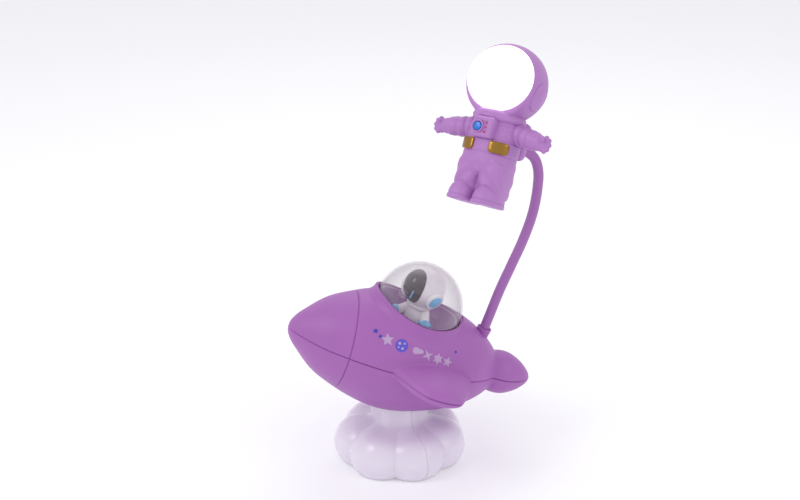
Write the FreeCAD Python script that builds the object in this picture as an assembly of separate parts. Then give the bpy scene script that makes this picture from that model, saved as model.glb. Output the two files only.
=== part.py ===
import FreeCAD, Part
import math
import os
from FreeCAD import Vector, Placement, Rotation

# Child's desk lamp: a rocket on a cloud-shaped foot, with a pilot under a clear canopy, and an
# astronaut lamp head on a gooseneck.  +Z is up, the origin is the centre of the foot pad's lower
# face, and the rocket's nose points to -Y.  Millimetres and degrees.

# Foot
LOBES = 7
LOBE_R = 17.5            # radius of each cloud lobe
LOBE_RING_R = 30.5       # circle that the lobes' centres lie on
LOBE_Z = 13.0
CLOUD_TOP = 31.0
COLUMN_R = 21.0          # column between the cloud and the rocket's belly
COLUMN_TOP_R = 19.0
PAD_T = 1.5
PLATE_T = 2.0
PARTING_AZ = 106.0       # plane where the two cloud shells meet
CLOUD_WALL = 2.0
CLOUD_FLOOR = 0.8        # height of the cloud's lower edge
LOBE_AZ = [360 / LOBES * k for k in range(LOBES)]
BOSS_R = 3.4
BALLAST_R = 24.0
BALLAST_T = 7.0

# Rocket: s runs along its axis from nose to tail, h is square to the axis in the middle plane
PITCH = 16.8
NOSE = Vector(0, -78.7, 106.6)
BODY = ((0, 0), (0.9, 4.0), (3.6, 8.6), (10, 15.2), (23, 26.2), (38, 33.6), (51, 38.4), (67, 42.3),
        (79, 43.2), (90, 42.3), (102, 39.9), (114, 36.6), (124, 32.8), (134, 27.8), (143, 21.4),
        (150, 14.6))
TAIL = ((150, 14.6), (154, 15.4), (160, 15.4), (168, 12.6), (175, 8.0), (179.4, 3.2), (180.9, 0))
SHELL_T = 2.0
WING = ((24, 99, 31, 11.5), (42, 99, 28.0, 10.5), (54, 100.5, 22.5, 9.0), (64, 102, 17.0, 6.8),
        (71, 103.5, 11.5, 4.4), (74, 104.5, 7.0, 2.4))     # x, middle s, half length, half thickness
SCREW_SPOTS = ((24, 50), (-24, 50), (24, 113), (-24, 113))  # x, s of the shell screws

# Canopy and cockpit
DOME_C = Vector(0, 85.3, 36.4)
DOME_R = 31.0
DOME_T = 1.2
COLLAR_GAP = 0.3
COLLAR_R = 34.0
COLLAR_FOOT_R = 37.5
RIM = ((51.6, 43.1), (85.3, 33.2), (119.4, 34.2))          # s, h of the collar's lip
PILOT_TURN = 44.7
PILOT_HEAD_R = 14.6
VISOR_R = 10.8

# Gooseneck
NECK_R = 3.5
NECK_FIT = 0.08          # clearance of the ferrule and the nut round the neck
LEAD_R = 1.1             # radius of the inner leads
SLEEVE_BORE_R = 2.4
CORE_R = 1.9
CORE_BORE_R = 0.7
BALL_R = 1.75
BALL_NECK_R = 1.15
SOCKET_R = 2.1
SLEEVE_GAP = 1.5
FERRULE_TOP = Vector(0, 60.9, 96.8)
HINGES = (Vector(0, 64.3, 106.2), Vector(0.3, 71.2, 125.4), Vector(0.7, 79.0, 144.2),
          Vector(1.4, 86.6, 163.2), Vector(2.3, 92.4, 182.8), Vector(3.3, 94.9, 203.0))
NECK_CORNER = Vector(4.6, 95.2, 226.0)
NECK_END = Vector(12.35, 72.6, 233.2)
TOP_BEND_R = 22.0

# Astronaut lamp head, in its own frame: x to its left, y to its back, z up from the belt
HEAD_AT = Vector(32, 55.5, 236.5)
HEAD_TURN = 45.5
HEAD_LEAN = 25.0
TORSO = ((-14, 17.5, 13.5), (-3, 18.4, 14.4), (8, 18.4, 14.4), (16, 17.3, 13.6), (21, 15.4, 12.4),
         (25, 12.5, 10.5))                                 # z, half width, half depth
HELMET_C = Vector(0, -2, 47.2)
HELMET_R = (28.0, 27.0, 26.0)
FACE_Y = -11.5
FACE_BACK = 3.7          # how far the lens's widest section lies behind its rim
FACE_Z = 48.6
FACE_R = (25.6, 17.5, 22.2)
LEG_X = 8.9
LEG_R = 9.3
SOLE_Z = -35.5
ARM_R = 6.5
SHOULDER = (15.0, 0.5, 13.6)
WRIST = (35.5, -3.8, 11.0)
HAND = (39.4, -4.6, 10.4)
HAND_R = 5.8
BUTTON_AT = Vector(-3.4, -19.0, 12.8)
BUTTON_R = 2.8
BUTTON_TRAVEL = 0.8

ROCKET = Placement(NOSE, Rotation(Vector(1, 0, 0), -PITCH))
HEAD = Placement(HEAD_AT, Rotation(Vector(0, 0, 1), HEAD_TURN) * Rotation(Vector(1, 0, 0), -HEAD_LEAN))
BIG = 400.0

os.makedirs("parts", exist_ok=True)


def save(name, *pieces):
    """Write one node: a solid, or a group of separate solids."""
    solids = [s for piece in pieces for s in piece.Solids]
    shape = solids[0] if len(solids) == 1 else Part.makeCompound(solids)
    shape.exportStep("parts/" + name + ".step")
    volume = sum(solid.Volume for solid in solids) / 1000
    print(f"{name}: {len(solids)} solid(s), {volume:.2f} cm3, valid {shape.isValid()}")


def placed(shape, placement):
    """Return a copy of the shape moved from a local frame to the lamp's frame."""
    return shape.transformed(placement.toMatrix(), True)


def rod(start, end, r, r_end=None):
    """Cylinder or cone between two points."""
    axis = end - start
    if r_end is None or r_end == r:
        return Part.makeCylinder(r, axis.Length, start, axis)
    return Part.makeCone(r, r_end, axis.Length, start, axis)


def box(x0, x1, y0, y1, z0, z1):
    return Part.makeBox(x1 - x0, y1 - y0, z1 - z0, Vector(x0, y0, z0))


def fuse(shapes):
    return shapes[0].multiFuse(list(shapes[1:])).removeSplitter() if len(shapes) > 1 else shapes[0]


def ellipsoid(centre, radii):
    """Sphere stretched to three half axes."""
    matrix = FreeCAD.Matrix()
    matrix.scale(Vector(*radii))
    matrix.move(centre)
    return Part.makeSphere(1.0).transformGeometry(matrix)


def spline(points):
    curve = Part.BSplineCurve()
    curve.interpolate(points)
    return curve.toShape()


def turned(*outlines):
    """Solid of revolution about the rocket's axis from joined (s, r) outlines, tip to tip."""
    edges = [spline([Vector(0, s, r) for s, r in outline]) for outline in outlines]
    tip, tail = outlines[0][0], outlines[-1][-1]
    edges.append(Part.makeLine(Vector(0, tail[0], 0), Vector(0, tip[0], 0)))
    face = Part.Face(Part.Wire(edges))
    return face.revolve(Vector(0, 0, 0), Vector(0, 1, 0), 360)


def wing(side, inset):
    """Leaf-shaped pod lofted outwards through ellipses."""
    sections = []
    for x, s, length, thick in WING:
        ellipse = Part.Ellipse(Vector(0, 0, 0), length - inset, thick - inset * 0.75).toShape()
        # turn the ellipse so that its length runs along s and its thickness along h
        ellipse.Placement = Placement(Vector(side * (x - inset), s, 0), Rotation(Vector(1, 1, 1), 120))
        sections.append(Part.Wire(ellipse))
    return Part.makeLoft(sections, True, False)


def on_ring(radius, azimuth, z):
    """Point at an azimuth counted from the front (-Y) towards +X."""
    a = math.radians(azimuth)
    return Vector(radius * math.sin(a), -radius * math.cos(a), z)


# ---- rocket bodies used as tools --------------------------------------------------------------
def inset_outline(outline, inset):
    return [(s, max(r - inset, 0)) for s, r in outline]


body_outer = turned(BODY, TAIL)
hull_outer = fuse([body_outer, wing(1, 0), wing(-1, 0)])
inner_body = [(SHELL_T * 2, 0), (6, 7.2)] + inset_outline(BODY[3:-1], SHELL_T) + [(149, 12.4)]
inner_tail = [(149, 12.4), (154, 13.2), (160, 13.2), (168, 10.4), (174, 6.6), (178.0, 0)]
cavity = fuse([turned(inner_body, inner_tail), wing(1, SHELL_T), wing(-1, SHELL_T)])
hull = hull_outer.cut(cavity)
above = box(-BIG, BIG, -BIG, BIG, 0, BIG)
below = box(-BIG, BIG, -BIG, BIG, -BIG, 0)

# ---- collar and canopy ------------------------------------------------------------------------
rim_circle = Part.Arc(*[Vector(-60, s, h) for s, h in RIM]).toShape().Curve


def over_rim(drop):
    """Space above the collar's saddle-shaped rim, lowered by drop."""
    circle = Part.Circle(rim_circle.Center - Vector(0, 0, drop), Vector(1, 0, 0), rim_circle.Radius)
    return Part.Face(Part.Wire(circle.toShape())).extrude(Vector(120, 0, 0))


dome_ball = Part.makeSphere(DOME_R, DOME_C)
opening = Part.makeSphere(DOME_R + COLLAR_GAP, DOME_C)
collar_band = Part.makeCone(COLLAR_FOOT_R, COLLAR_R, 26, DOME_C + Vector(0, 0, -16))
collar = collar_band.cut(over_rim(0)).cut(opening)
collar = collar.cut(body_outer)

# ---- rocket shells ----------------------------------------------------------------------------
screw_bosses = [rod(Vector(x, s, -40), Vector(x, s, 40), BOSS_R) for x, s in SCREW_SPOTS]
bosses = fuse(screw_bosses).common(hull_outer)
screws = []
recesses = []
for x, s in SCREW_SPOTS:
    head = rod(Vector(x, s, -10), Vector(x, s, -8), 2.4)
    shank = rod(Vector(x, s, -8), Vector(x, s, 8), 1.3)
    screws.append(head.fuse(shank).removeSplitter())
    recesses.append(rod(Vector(x, s, -45), Vector(x, s, -8), 2.5))
ferrule_axis = (HINGES[1] - FERRULE_TOP).normalize()
ferrule_hole = rod(FERRULE_TOP - ferrule_axis * 16, FERRULE_TOP, 3.9)
to_local = ROCKET.inverse()
ferrule_hole_local = placed(ferrule_hole, to_local)

port_s, port_h = 60.0, -8.0
port = box(-60, -30, port_s - 4.7, port_s + 4.7, port_h - 1.75, port_h + 1.75)
port = port.makeFillet(1.7, [e for e in port.Edges if abs(e.tangentAt(0).x) > 0.9])

upper = hull.common(above).cut(opening)
upper = upper.fuse(bosses.common(above)).fuse(collar).removeSplitter()
upper = upper.cut(fuse([rod(Vector(x, s, -1), Vector(x, s, 8.5), 1.3) for x, s in SCREW_SPOTS]))
upper = upper.cut(ferrule_hole_local)
lower = hull.common(below).fuse(bosses.common(below)).removeSplitter()
lower = lower.cut(fuse(recesses + [rod(Vector(x, s, -9), Vector(x, s, 1), 1.3) for x, s in SCREW_SPOTS]))
lower = lower.cut(port)
lower = placed(lower, ROCKET)
upper = placed(upper, ROCKET)
outer_world = placed(body_outer, ROCKET)

# ---- cloud foot -------------------------------------------------------------------------------
def cloud(inset, floor):
    lobes = []
    for azimuth in LOBE_AZ:
        lobes.append(Part.makeSphere(LOBE_R - inset, on_ring(LOBE_RING_R, azimuth, LOBE_Z)))
    core = Part.makeCylinder(LOBE_RING_R - inset, 25 - inset - floor, Vector(0, 0, floor))
    roof = Part.makeCone(LOBE_RING_R - inset, COLUMN_R - 1 - inset, CLOUD_TOP - 25, Vector(0, 0, 25 - inset))
    shape = fuse(lobes + [core, roof])
    return shape.common(box(-80, 80, -80, 80, floor, 80))


def lobed_plate(lobe_r, core_r, z0, z1):
    discs = []
    for azimuth in LOBE_AZ:
        discs.append(rod(on_ring(LOBE_RING_R, azimuth, z0), on_ring(LOBE_RING_R, azimuth, z1), lobe_r))
    return fuse(discs + [Part.makeCylinder(core_r, z1 - z0, Vector(0, 0, z0))])


plate_top = PAD_T + PLATE_T
column = Part.makeCone(COLUMN_R, COLUMN_TOP_R, 28, Vector(0, 0, CLOUD_TOP - 6))
column_bore = Part.makeCylinder(COLUMN_R - 4, 10, Vector(0, 0, 24.5))
cloud_shell = fuse([cloud(0, CLOUD_FLOOR), column]).cut(outer_world)
foot_cavity = fuse([cloud(CLOUD_WALL, plate_top), column_bore])
cloud_shell = cloud_shell.cut(foot_cavity).cut(lobed_plate(10.7, 27.7, 0, plate_top + 0.01))
foot_screw_az = [LOBE_AZ[k] for k in (1, 3, 5, 6)]
foot_bosses = []
for azimuth in foot_screw_az:
    boss_foot = on_ring(LOBE_RING_R, azimuth, plate_top)
    foot_bosses.append(rod(boss_foot, on_ring(LOBE_RING_R, azimuth, 29), BOSS_R))
foot_bosses = fuse(foot_bosses).common(cloud(0, CLOUD_FLOOR))
cloud_shell = cloud_shell.fuse(foot_bosses).removeSplitter()
foot_screws = []
for azimuth in foot_screw_az:
    head = rod(on_ring(LOBE_RING_R, azimuth, PAD_T), on_ring(LOBE_RING_R, azimuth, PAD_T + 1.2), 2.6)
    shank = rod(on_ring(LOBE_RING_R, azimuth, PAD_T), on_ring(LOBE_RING_R, azimuth, 13), 1.3)
    foot_screws.append(head.fuse(shank).removeSplitter())
cloud_shell = cloud_shell.cut(fuse(foot_screws))

# screws that hold the rocket to the column, driven from inside the foot
stem_screws = []
for x in (-10, 10):
    head = rod(Vector(x, 0, 32.5), Vector(x, 0, 34.5), 2.8)
    shank = rod(Vector(x, 0, 34.5), Vector(x, 0, 49), 1.5)
    stem_screws.append(head.fuse(shank).removeSplitter())
stem_bosses = fuse([rod(Vector(x, 0, 36), Vector(x, 0, 51), 3.6) for x in (-10, 10)]).common(outer_world)
wire_hole = rod(Vector(0, 0, 30), Vector(0, 0, 46), 2.5)
lower = lower.fuse(stem_bosses).removeSplitter().cut(fuse(stem_screws)).cut(wire_hole)
cloud_shell = cloud_shell.cut(fuse(stem_screws)).cut(wire_hole)
half_space = box(-BIG, 0, -BIG, BIG, -BIG, BIG)
half_space = half_space.transformed(Placement(Vector(), Rotation(Vector(0, 0, 1), PARTING_AZ)).toMatrix())

save("foot_pad", lobed_plate(10.0, 27.2, 0, PAD_T))
save("base_plate", lobed_plate(10.4, 27.5, PAD_T, plate_top).cut(fuse(foot_screws)))
save("ballast_disc", Part.makeCylinder(BALLAST_R, BALLAST_T, Vector(0, 0, plate_top)))
save("cloud_shell_front", cloud_shell.common(half_space))
save("cloud_shell_rear", cloud_shell.cut(half_space))
save("base_screws", *foot_screws)
save("stem_screws", *stem_screws)

board_z = plate_top + BALLAST_T
save("glow_board", Part.makeCylinder(15, 1.6, Vector(0, 0, board_z)))
save("glow_leds", *[box(x - 1.4, x + 1.4, y - 1.4, y + 1.4, board_z + 1.6, board_z + 2.8)
                    for x, y in ((9, 0), (-9, 0), (0, 9), (0, -9))])

save("shell_screws", *[placed(s, ROCKET) for s in screws])

# ---- canopy, cockpit and pilot ----------------------------------------------------------------
dome = dome_ball.cut(Part.makeSphere(DOME_R - DOME_T, DOME_C)).common(over_rim(3.0).fuse(above.common(
    box(-60, 60, 0, 200, 50, 200))))
save("canopy_dome", placed(dome, ROCKET))

tub_floor = DOME_C.z - 22
tub = Part.makeSphere(DOME_R - DOME_T - 0.1, DOME_C)
tub = tub.cut(Part.makeSphere(DOME_R - DOME_T - 1.6, DOME_C)).cut(over_rim(0.5))
tub = tub.cut(box(-60, 60, 0, 200, -60, tub_floor))
floor_slab = box(-60, 60, 0, 200, tub_floor, tub_floor + 1.5)
floor = Part.makeSphere(DOME_R - DOME_T - 0.1, DOME_C).common(floor_slab)
save("cockpit_tub", placed(tub.fuse(floor).removeSplitter(), ROCKET))

seat_z = tub_floor + 1.5
pilot_base = Vector(0, DOME_C.y, seat_z)
head_c = Vector(0, DOME_C.y + 0.3, DOME_C.z + 14.0)
pilot_turn = Placement(Vector(), Rotation(Vector(0, 0, 1), PILOT_TURN), pilot_base)


def pilot(shape):
    return placed(placed(shape, pilot_turn), ROCKET)


torso = rod(pilot_base, pilot_base + Vector(0, 0, 22), 9.5, 7.5)
pilot_head = Part.makeSphere(PILOT_HEAD_R, head_c)
pilot_arms = []
for x in (-1, 1):
    pilot_shoulder = Vector(x * 7, DOME_C.y, seat_z + 17)
    pilot_arms.append(rod(pilot_shoulder, Vector(x * 13, DOME_C.y - 5, seat_z + 10), 3.4))
visor_c = head_c + Vector(0, -6.4, 0)
visor_ball = Part.makeSphere(VISOR_R, visor_c)
torso = fuse([torso] + pilot_arms).cut(pilot_head)
save("pilot_body", pilot(torso))
ear_discs = []
for x in (-1, 1):
    inner, outer = Vector(x * (PILOT_HEAD_R - 1.2), 0, 0), Vector(x * (PILOT_HEAD_R + 0.8), 0, 0)
    ear_discs.append(rod(head_c + inner, head_c + outer, 4.9))
save("pilot_helmet", pilot(pilot_head.cut(visor_ball).cut(fuse(ear_discs))))
visor = visor_ball.cut(Part.makeSphere(VISOR_R - 1.2, visor_c)).common(box(-30, 30, 0, head_c.y - 9.0, 0, 90))
save("pilot_visor", pilot(visor))
save("pilot_ear_discs", *[pilot(d) for d in ear_discs])
gloves = [Part.makeSphere(3.6, Vector(x * 14.5, DOME_C.y - 6.2, seat_z + 8.6)) for x in (-1, 1)]
save("pilot_gloves", *[pilot(g.cut(torso)) for g in gloves])

# ---- power ------------------------------------------------------------------------------------
cell = rod(Vector(0, 30, -13), Vector(0, 95, -13), 9.2)
cradle = box(-11.5, 11.5, 34, 91, -24.5, -13).cut(rod(Vector(0, 20, -13), Vector(0, 99, -13), 9.25))
save("battery_cell", placed(cell, ROCKET))
save("battery_cradle", placed(cradle, ROCKET))
board = box(-29.6, -28, 53, 88, -19, 3)
socket = box(-39.2, -29.6, port_s - 4.5, port_s + 4.5, port_h - 1.55, port_h + 1.55)
socket = socket.makeFillet(1.5, [e for e in socket.Edges if abs(e.tangentAt(0).x) > 0.9])
socket = socket.cut(box(-40, -32, port_s - 4.15, port_s + 4.15, port_h - 1.2, port_h + 1.2))
tongue = box(-38.4, -32, port_s - 3.3, port_s + 3.3, port_h - 0.35, port_h + 0.35)
save("main_board", placed(board, ROCKET))
save("charge_socket", placed(socket.fuse(tongue).removeSplitter(), ROCKET))


def wire(points, r):
    """Round wire through straight runs with ball corners."""
    runs = [rod(a, b, r) for a, b in zip(points, points[1:])]
    return fuse(runs + [Part.makeSphere(r, p) for p in points[1:-1]])


glow_top = to_local.multVec(Vector(0, 0, board_z + 1.6))
glow_exit = to_local.multVec(Vector(0, 0, 50))
neck_lead = [Vector(0, 135.8, 16), Vector(0, 128, -5), Vector(-20, 102, -22), Vector(-27.9, 84, -10)]
glow_lead = [glow_top, glow_exit, Vector(-16, 90, -29), Vector(-27.9, 86, -16)]
cell_lead = [Vector(0, 95.1, -13), Vector(-4, 99, -13), Vector(-22, 94, -8), Vector(-27.9, 85, -3)]
lead_slot = placed(wire(glow_lead[1:], LEAD_R + 0.4), ROCKET)
lower = lower.cut(lead_slot)
lower = max(lower.Solids, key=lambda s: s.Volume)
save("rocket_lower_shell", lower)
save("rocket_upper_shell", upper)
solder_face = box(-29.6, -27.85, 53, 88, -19, 3)
cell_face = rod(Vector(0, 30, -13), Vector(0, 95.2, -13), 9.4)
leads = [wire(points, LEAD_R).cut(solder_face).cut(cell_face) for points in (neck_lead, glow_lead, cell_lead)]
save("rocket_wiring", *[placed(lead, ROCKET) for lead in leads])


# ---- gooseneck --------------------------------------------------------------------------------
def unit(vector):
    return Vector(vector).normalize()


class Arc:
    """Line, arc, line from a start to an end round one corner."""

    def __init__(self, start, corner, end, radius):
        into, out = unit(corner - start), unit(end - corner)
        reach = radius * math.tan(into.getAngle(out) / 2)
        first, last = corner - into * reach, corner + out * reach
        inward = unit(out - into)
        middle = corner + inward * (radius / math.cos(into.getAngle(out) / 2) - radius)
        bend = Part.Arc(first, middle, last).toShape()
        self.edges = [Part.makeLine(start, first), bend, Part.makeLine(last, end)]
        self.into, self.out, self.start, self.end = into, out, start, end

    def tube(self, radius):
        ring = Part.Wire(Part.makeCircle(radius, self.start, self.into))
        return Part.Wire(self.edges).makePipeShell([ring], True, True)


ferrule_foot = FERRULE_TOP - ferrule_axis * 12
neck_bottom = FERRULE_TOP - ferrule_axis * 14
stations = [neck_bottom] + list(HINGES)


def core_link(start, end, socketed):
    """Link turned about its own axis: a socket at its foot, a ball at its top, and a bore."""
    length = (end - start).Length
    ball_foot = length - math.sqrt(BALL_R ** 2 - BALL_NECK_R ** 2)
    ball_top = length + math.sqrt(BALL_R ** 2 - CORE_BORE_R ** 2)
    shoulder = length - 2.0
    corners = [Vector(CORE_BORE_R, 0, ball_top), Vector(BALL_NECK_R, 0, ball_foot),
               Vector(BALL_NECK_R, 0, shoulder), Vector(CORE_R, 0, shoulder)]
    edges = [Part.Arc(corners[0], Vector(BALL_R, 0, length), corners[1]).toShape()]
    if socketed:
        rim = Vector(CORE_R, 0, math.sqrt(SOCKET_R ** 2 - CORE_R ** 2))
        mouth = Vector(CORE_BORE_R, 0, math.sqrt(SOCKET_R ** 2 - CORE_BORE_R ** 2))
        middle = (rim + mouth).normalize() * SOCKET_R
        edges.append(Part.Arc(rim, middle, mouth).toShape())
    else:
        rim, mouth = Vector(CORE_R, 0, 0), Vector(CORE_BORE_R, 0, 0)
        edges.append(Part.makeLine(rim, mouth))
    for a, b in ((corners[1], corners[2]), (corners[2], corners[3]), (corners[3], rim), (mouth, corners[0])):
        edges.append(Part.makeLine(a, b))
    face = Part.Face(Part.Wire(Part.sortEdges(edges)[0]))
    link = face.revolve(Vector(0, 0, 0), Vector(0, 0, 1), 360)
    return placed(link, Placement(start, Rotation(Vector(0, 0, 1), end - start)))


sleeves = []
cores = []
for i, start in enumerate(stations[:-1]):
    end = stations[i + 1]
    along = unit(end - start)
    low = start + along * (SLEEVE_GAP if i else 0)
    sleeve = rod(low, end - along * SLEEVE_GAP, NECK_R)
    sleeves.append(sleeve.cut(rod(start, end, SLEEVE_BORE_R)))
    cores.append(core_link(start, end, i > 0))

top = Arc(HINGES[-1], NECK_CORNER, NECK_END, TOP_BEND_R)
sleeve_top = Arc(HINGES[-1] + top.into * SLEEVE_GAP, NECK_CORNER, NECK_END, TOP_BEND_R)
core_top = Arc(HINGES[-1], NECK_CORNER, NECK_END, TOP_BEND_R)
sleeves.append(sleeve_top.tube(NECK_R).cut(sleeve_top.tube(SLEEVE_BORE_R)))
cores.append(core_top.tube(CORE_R).cut(core_top.tube(CORE_BORE_R)).cut(Part.makeSphere(SOCKET_R, HINGES[-1])))
for i, (sleeve, core) in enumerate(zip(sleeves, cores)):
    save(f"neck_sleeve_{i}", sleeve)
    save(f"neck_core_{i}", core)

ferrule_bore = rod(neck_bottom - ferrule_axis, FERRULE_TOP + ferrule_axis, NECK_R + NECK_FIT)
ferrule = rod(ferrule_foot, FERRULE_TOP, 4.3, 5.1).cut(ferrule_bore)
spigot_end = ferrule_foot + ferrule_axis * 4.5
below_spigot = ferrule_foot - ferrule_axis
ferrule = ferrule.cut(rod(below_spigot, spigot_end, 9).cut(rod(below_spigot, spigot_end, 3.9)))
ferrule = ferrule.cut(placed(hull.common(above), ROCKET))
save("neck_ferrule", max(ferrule.Solids, key=lambda s: s.Volume))
nut = rod(neck_bottom, neck_bottom + ferrule_axis * 2.4, 6.0).cut(ferrule_bore)
save("neck_nut", nut.cut(upper).cut(ferrule))

# ---- astronaut lamp head ----------------------------------------------------------------------
def torso_solid(inset):
    rings = []
    for z, width, depth in TORSO:
        ring = Part.Ellipse(Vector(0, 0, z), width - inset, depth - inset).toShape()
        rings.append(Part.Wire(ring))
    return Part.makeLoft(rings, True, False)


def boot(x):
    return ellipsoid(Vector(x * 9.8, -3.8, -34.0), (9.6, 14.2, 12.2)).common(box(-40, 40, -40, 40, SOLE_Z, 0))


def limb(side, inset):
    return rod(Vector(side * LEG_X, 0, -9), Vector(side * LEG_X, 0, -32), LEG_R - inset, LEG_R - 0.5 - inset)


helmet_outer = ellipsoid(HELMET_C, HELMET_R)
helmet_inner = ellipsoid(HELMET_C, [r - 2 for r in HELMET_R])
suit_outer = fuse([torso_solid(0), limb(1, 0), limb(-1, 0), boot(1), boot(-1)]).cut(helmet_outer)
suit_inner = fuse([torso_solid(2).common(box(-30, 30, -30, 30, -11, 20)), limb(1, 2.4), limb(-1, 2.4)])
cross_bosses = fuse([rod(Vector(x * LEG_X, -12, -18), Vector(x * LEG_X, 12, -18), 3.0) for x in (-1, 1)])
suit = suit_outer.cut(suit_inner).fuse(cross_bosses.common(suit_outer)).removeSplitter()
suit_screws = []
for x in (-LEG_X, LEG_X):
    head = rod(Vector(x, 7.5, -18), Vector(x, 5.5, -18), 2.2)
    shank = rod(Vector(x, 5.5, -18), Vector(x, -5, -18), 1.1)
    suit_screws.append(head.fuse(shank).removeSplitter())
    suit = suit.cut(rod(Vector(x, 20, -18), Vector(x, 5.5, -18), 2.25)).cut(shank)
wire_shaft = rod(Vector(0, 4, 12), Vector(0, 4, 30), 3.0)
pack_hole = rod(Vector(0, 6, 8), Vector(0, 30, 8), 3.0)

arms = []
for side in (-1, 1):
    shoulder, wrist, hand = [Vector(side * p[0], p[1], p[2]) for p in (SHOULDER, WRIST, HAND)]
    reach = unit(wrist - shoulder)
    sleeve = rod(shoulder, wrist, ARM_R + 0.3, ARM_R - 0.2)
    arm = fuse([sleeve, Part.makeSphere(HAND_R, hand)]).cut(suit_outer)
    arm = max(arm.Solids, key=lambda s: s.Volume)
    peg = rod(shoulder - reach * 4, wrist, 2.6)
    arms.append(arm.fuse(peg).removeSplitter())
    suit = suit.cut(rod(shoulder - reach * 4, wrist, 2.6))
suit = suit.cut(wire_shaft).cut(pack_hole)
front = box(-60, 60, -60, 0, -60, 60)
save("suit_front_shell", placed(suit.common(front), HEAD))
save("suit_rear_shell", placed(suit.cut(front), HEAD))

backpack = box(-16.5, 16.5, 6, 21.5, -1.5, 25)
backpack = backpack.makeFillet(3.5, [e for e in backpack.Edges])
backpack = backpack.cut(suit_outer).cut(helmet_outer)
backpack = max(backpack.Solids, key=lambda s: s.Volume)
plug_axis = -top.out
plug = rod(NECK_END - plug_axis * 4, NECK_END + plug_axis * 7, 6.4, 4.6)
plug_local = placed(plug, HEAD.inverse())
lead_hole = placed(rod(NECK_END - plug_axis * 20, NECK_END, 1.6), HEAD.inverse())
plug = plug.cut(top.tube(NECK_R)).cut(rod(NECK_END - plug_axis * 5, NECK_END + plug_axis * 0.01, 2.2))
backpack = backpack.cut(plug_local).cut(pack_hole)

helmet = helmet_outer.cut(helmet_inner).cut(box(-60, 60, -60, FACE_Y, 0, 100))
bezel = helmet_outer.common(box(-60, 60, FACE_Y, FACE_Y + 2, 0, 100))
face_hole = ellipsoid(Vector(0, FACE_Y, FACE_Z), (FACE_R[0] - 2.2, 20, FACE_R[2] - 2.2))
bezel = bezel.cut(face_hole)
helmet = helmet.fuse(bezel).removeSplitter().cut(wire_shaft)
lens_c = Vector(0, FACE_Y + FACE_BACK, FACE_Z)
lens = ellipsoid(lens_c, FACE_R)
lens = lens.cut(ellipsoid(lens_c, [r - 1.8 for r in FACE_R]))
lens = lens.common(box(-60, 60, -60, FACE_Y, 0, 100))

light_c = Vector(0, FACE_Y + 6, FACE_Z)
light_board = rod(light_c, light_c + Vector(0, 1.6, 0), 18.5)
chips = []
for ring_r, count in ((0, 1), (7, 6), (13.5, 12)):
    for k in range(count):
        a = 2 * math.pi * k / count
        cx, cz = ring_r * math.cos(a), FACE_Z + ring_r * math.sin(a)
        chips.append(box(cx - 1.2, cx + 1.2, light_c.y - 0.9, light_c.y, cz - 1.2, cz + 1.2))
reflector_front = light_c - Vector(0, 3.8, 0)
reflector = rod(reflector_front, light_c, 20.0).cut(rod(reflector_front, light_c, 18.8, 16.6))

chest = box(-7.9, 7.3, -19, -8, 6.2, 19.8)
chest = chest.makeFillet(1.6, [e for e in chest.Edges if e.CenterOfMass.y < -12])
chest = chest.cut(suit_outer)
pocket = rod(BUTTON_AT + Vector(0, 3, 0), BUTTON_AT + Vector(0, 20, 0), 4.2)
chest = chest.cut(rod(BUTTON_AT - Vector(0, 2, 0), BUTTON_AT + Vector(0, 4, 0), BUTTON_R + 0.3)).cut(pocket)
chest = max(chest.Solids, key=lambda s: s.Volume)
button = rod(BUTTON_AT - Vector(0, 0.9, 0), BUTTON_AT + Vector(0, 2.9, 0), BUTTON_R)
switch_half = 2.2
switch = box(BUTTON_AT.x - switch_half, BUTTON_AT.x + switch_half, BUTTON_AT.y + 4.0, -8,
             BUTTON_AT.z - switch_half, BUTTON_AT.z + switch_half)
switch = switch.cut(suit_outer)

pouches = []
for side in (-1, 1):
    block = box(*sorted((side * 5.5, side * 16.5)), -20, -2, -2.0, 5.8)
    pouches.append(torso_solid(-1.9).common(block).cut(suit_outer).cut(chest))

lead = [Vector(0, 21, 8), Vector(0, 4, 8), Vector(0, 4, 30), Vector(0, 0, 40)]
lead.append(Vector(0, light_c.y + 1.6, 44))
wires = wire(lead, LEAD_R).cut(light_board)

save("suit_screws", *[placed(s, HEAD) for s in suit_screws])
save("left_arm", placed(arms[1], HEAD))
save("right_arm", placed(arms[0], HEAD))
save("backpack", placed(backpack, HEAD))
save("neck_plug", plug)
save("helmet_shell", placed(helmet, HEAD))
save("face_lens", placed(lens, HEAD))
save("light_board", placed(light_board, HEAD))
save("light_chips", *[placed(c, HEAD) for c in chips])
save("reflector_ring", placed(reflector, HEAD))
save("chest_pack", placed(chest, HEAD))
save("chest_button", placed(button, HEAD))
save("chest_switch", placed(switch, HEAD))
save("belt_pouches", *[placed(p, HEAD) for p in pouches])
save("head_wiring", placed(wires.cut(plug_local), HEAD))
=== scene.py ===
import math

import bmesh
import bpy
import numpy as np
from mathutils import Matrix, Vector


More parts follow.
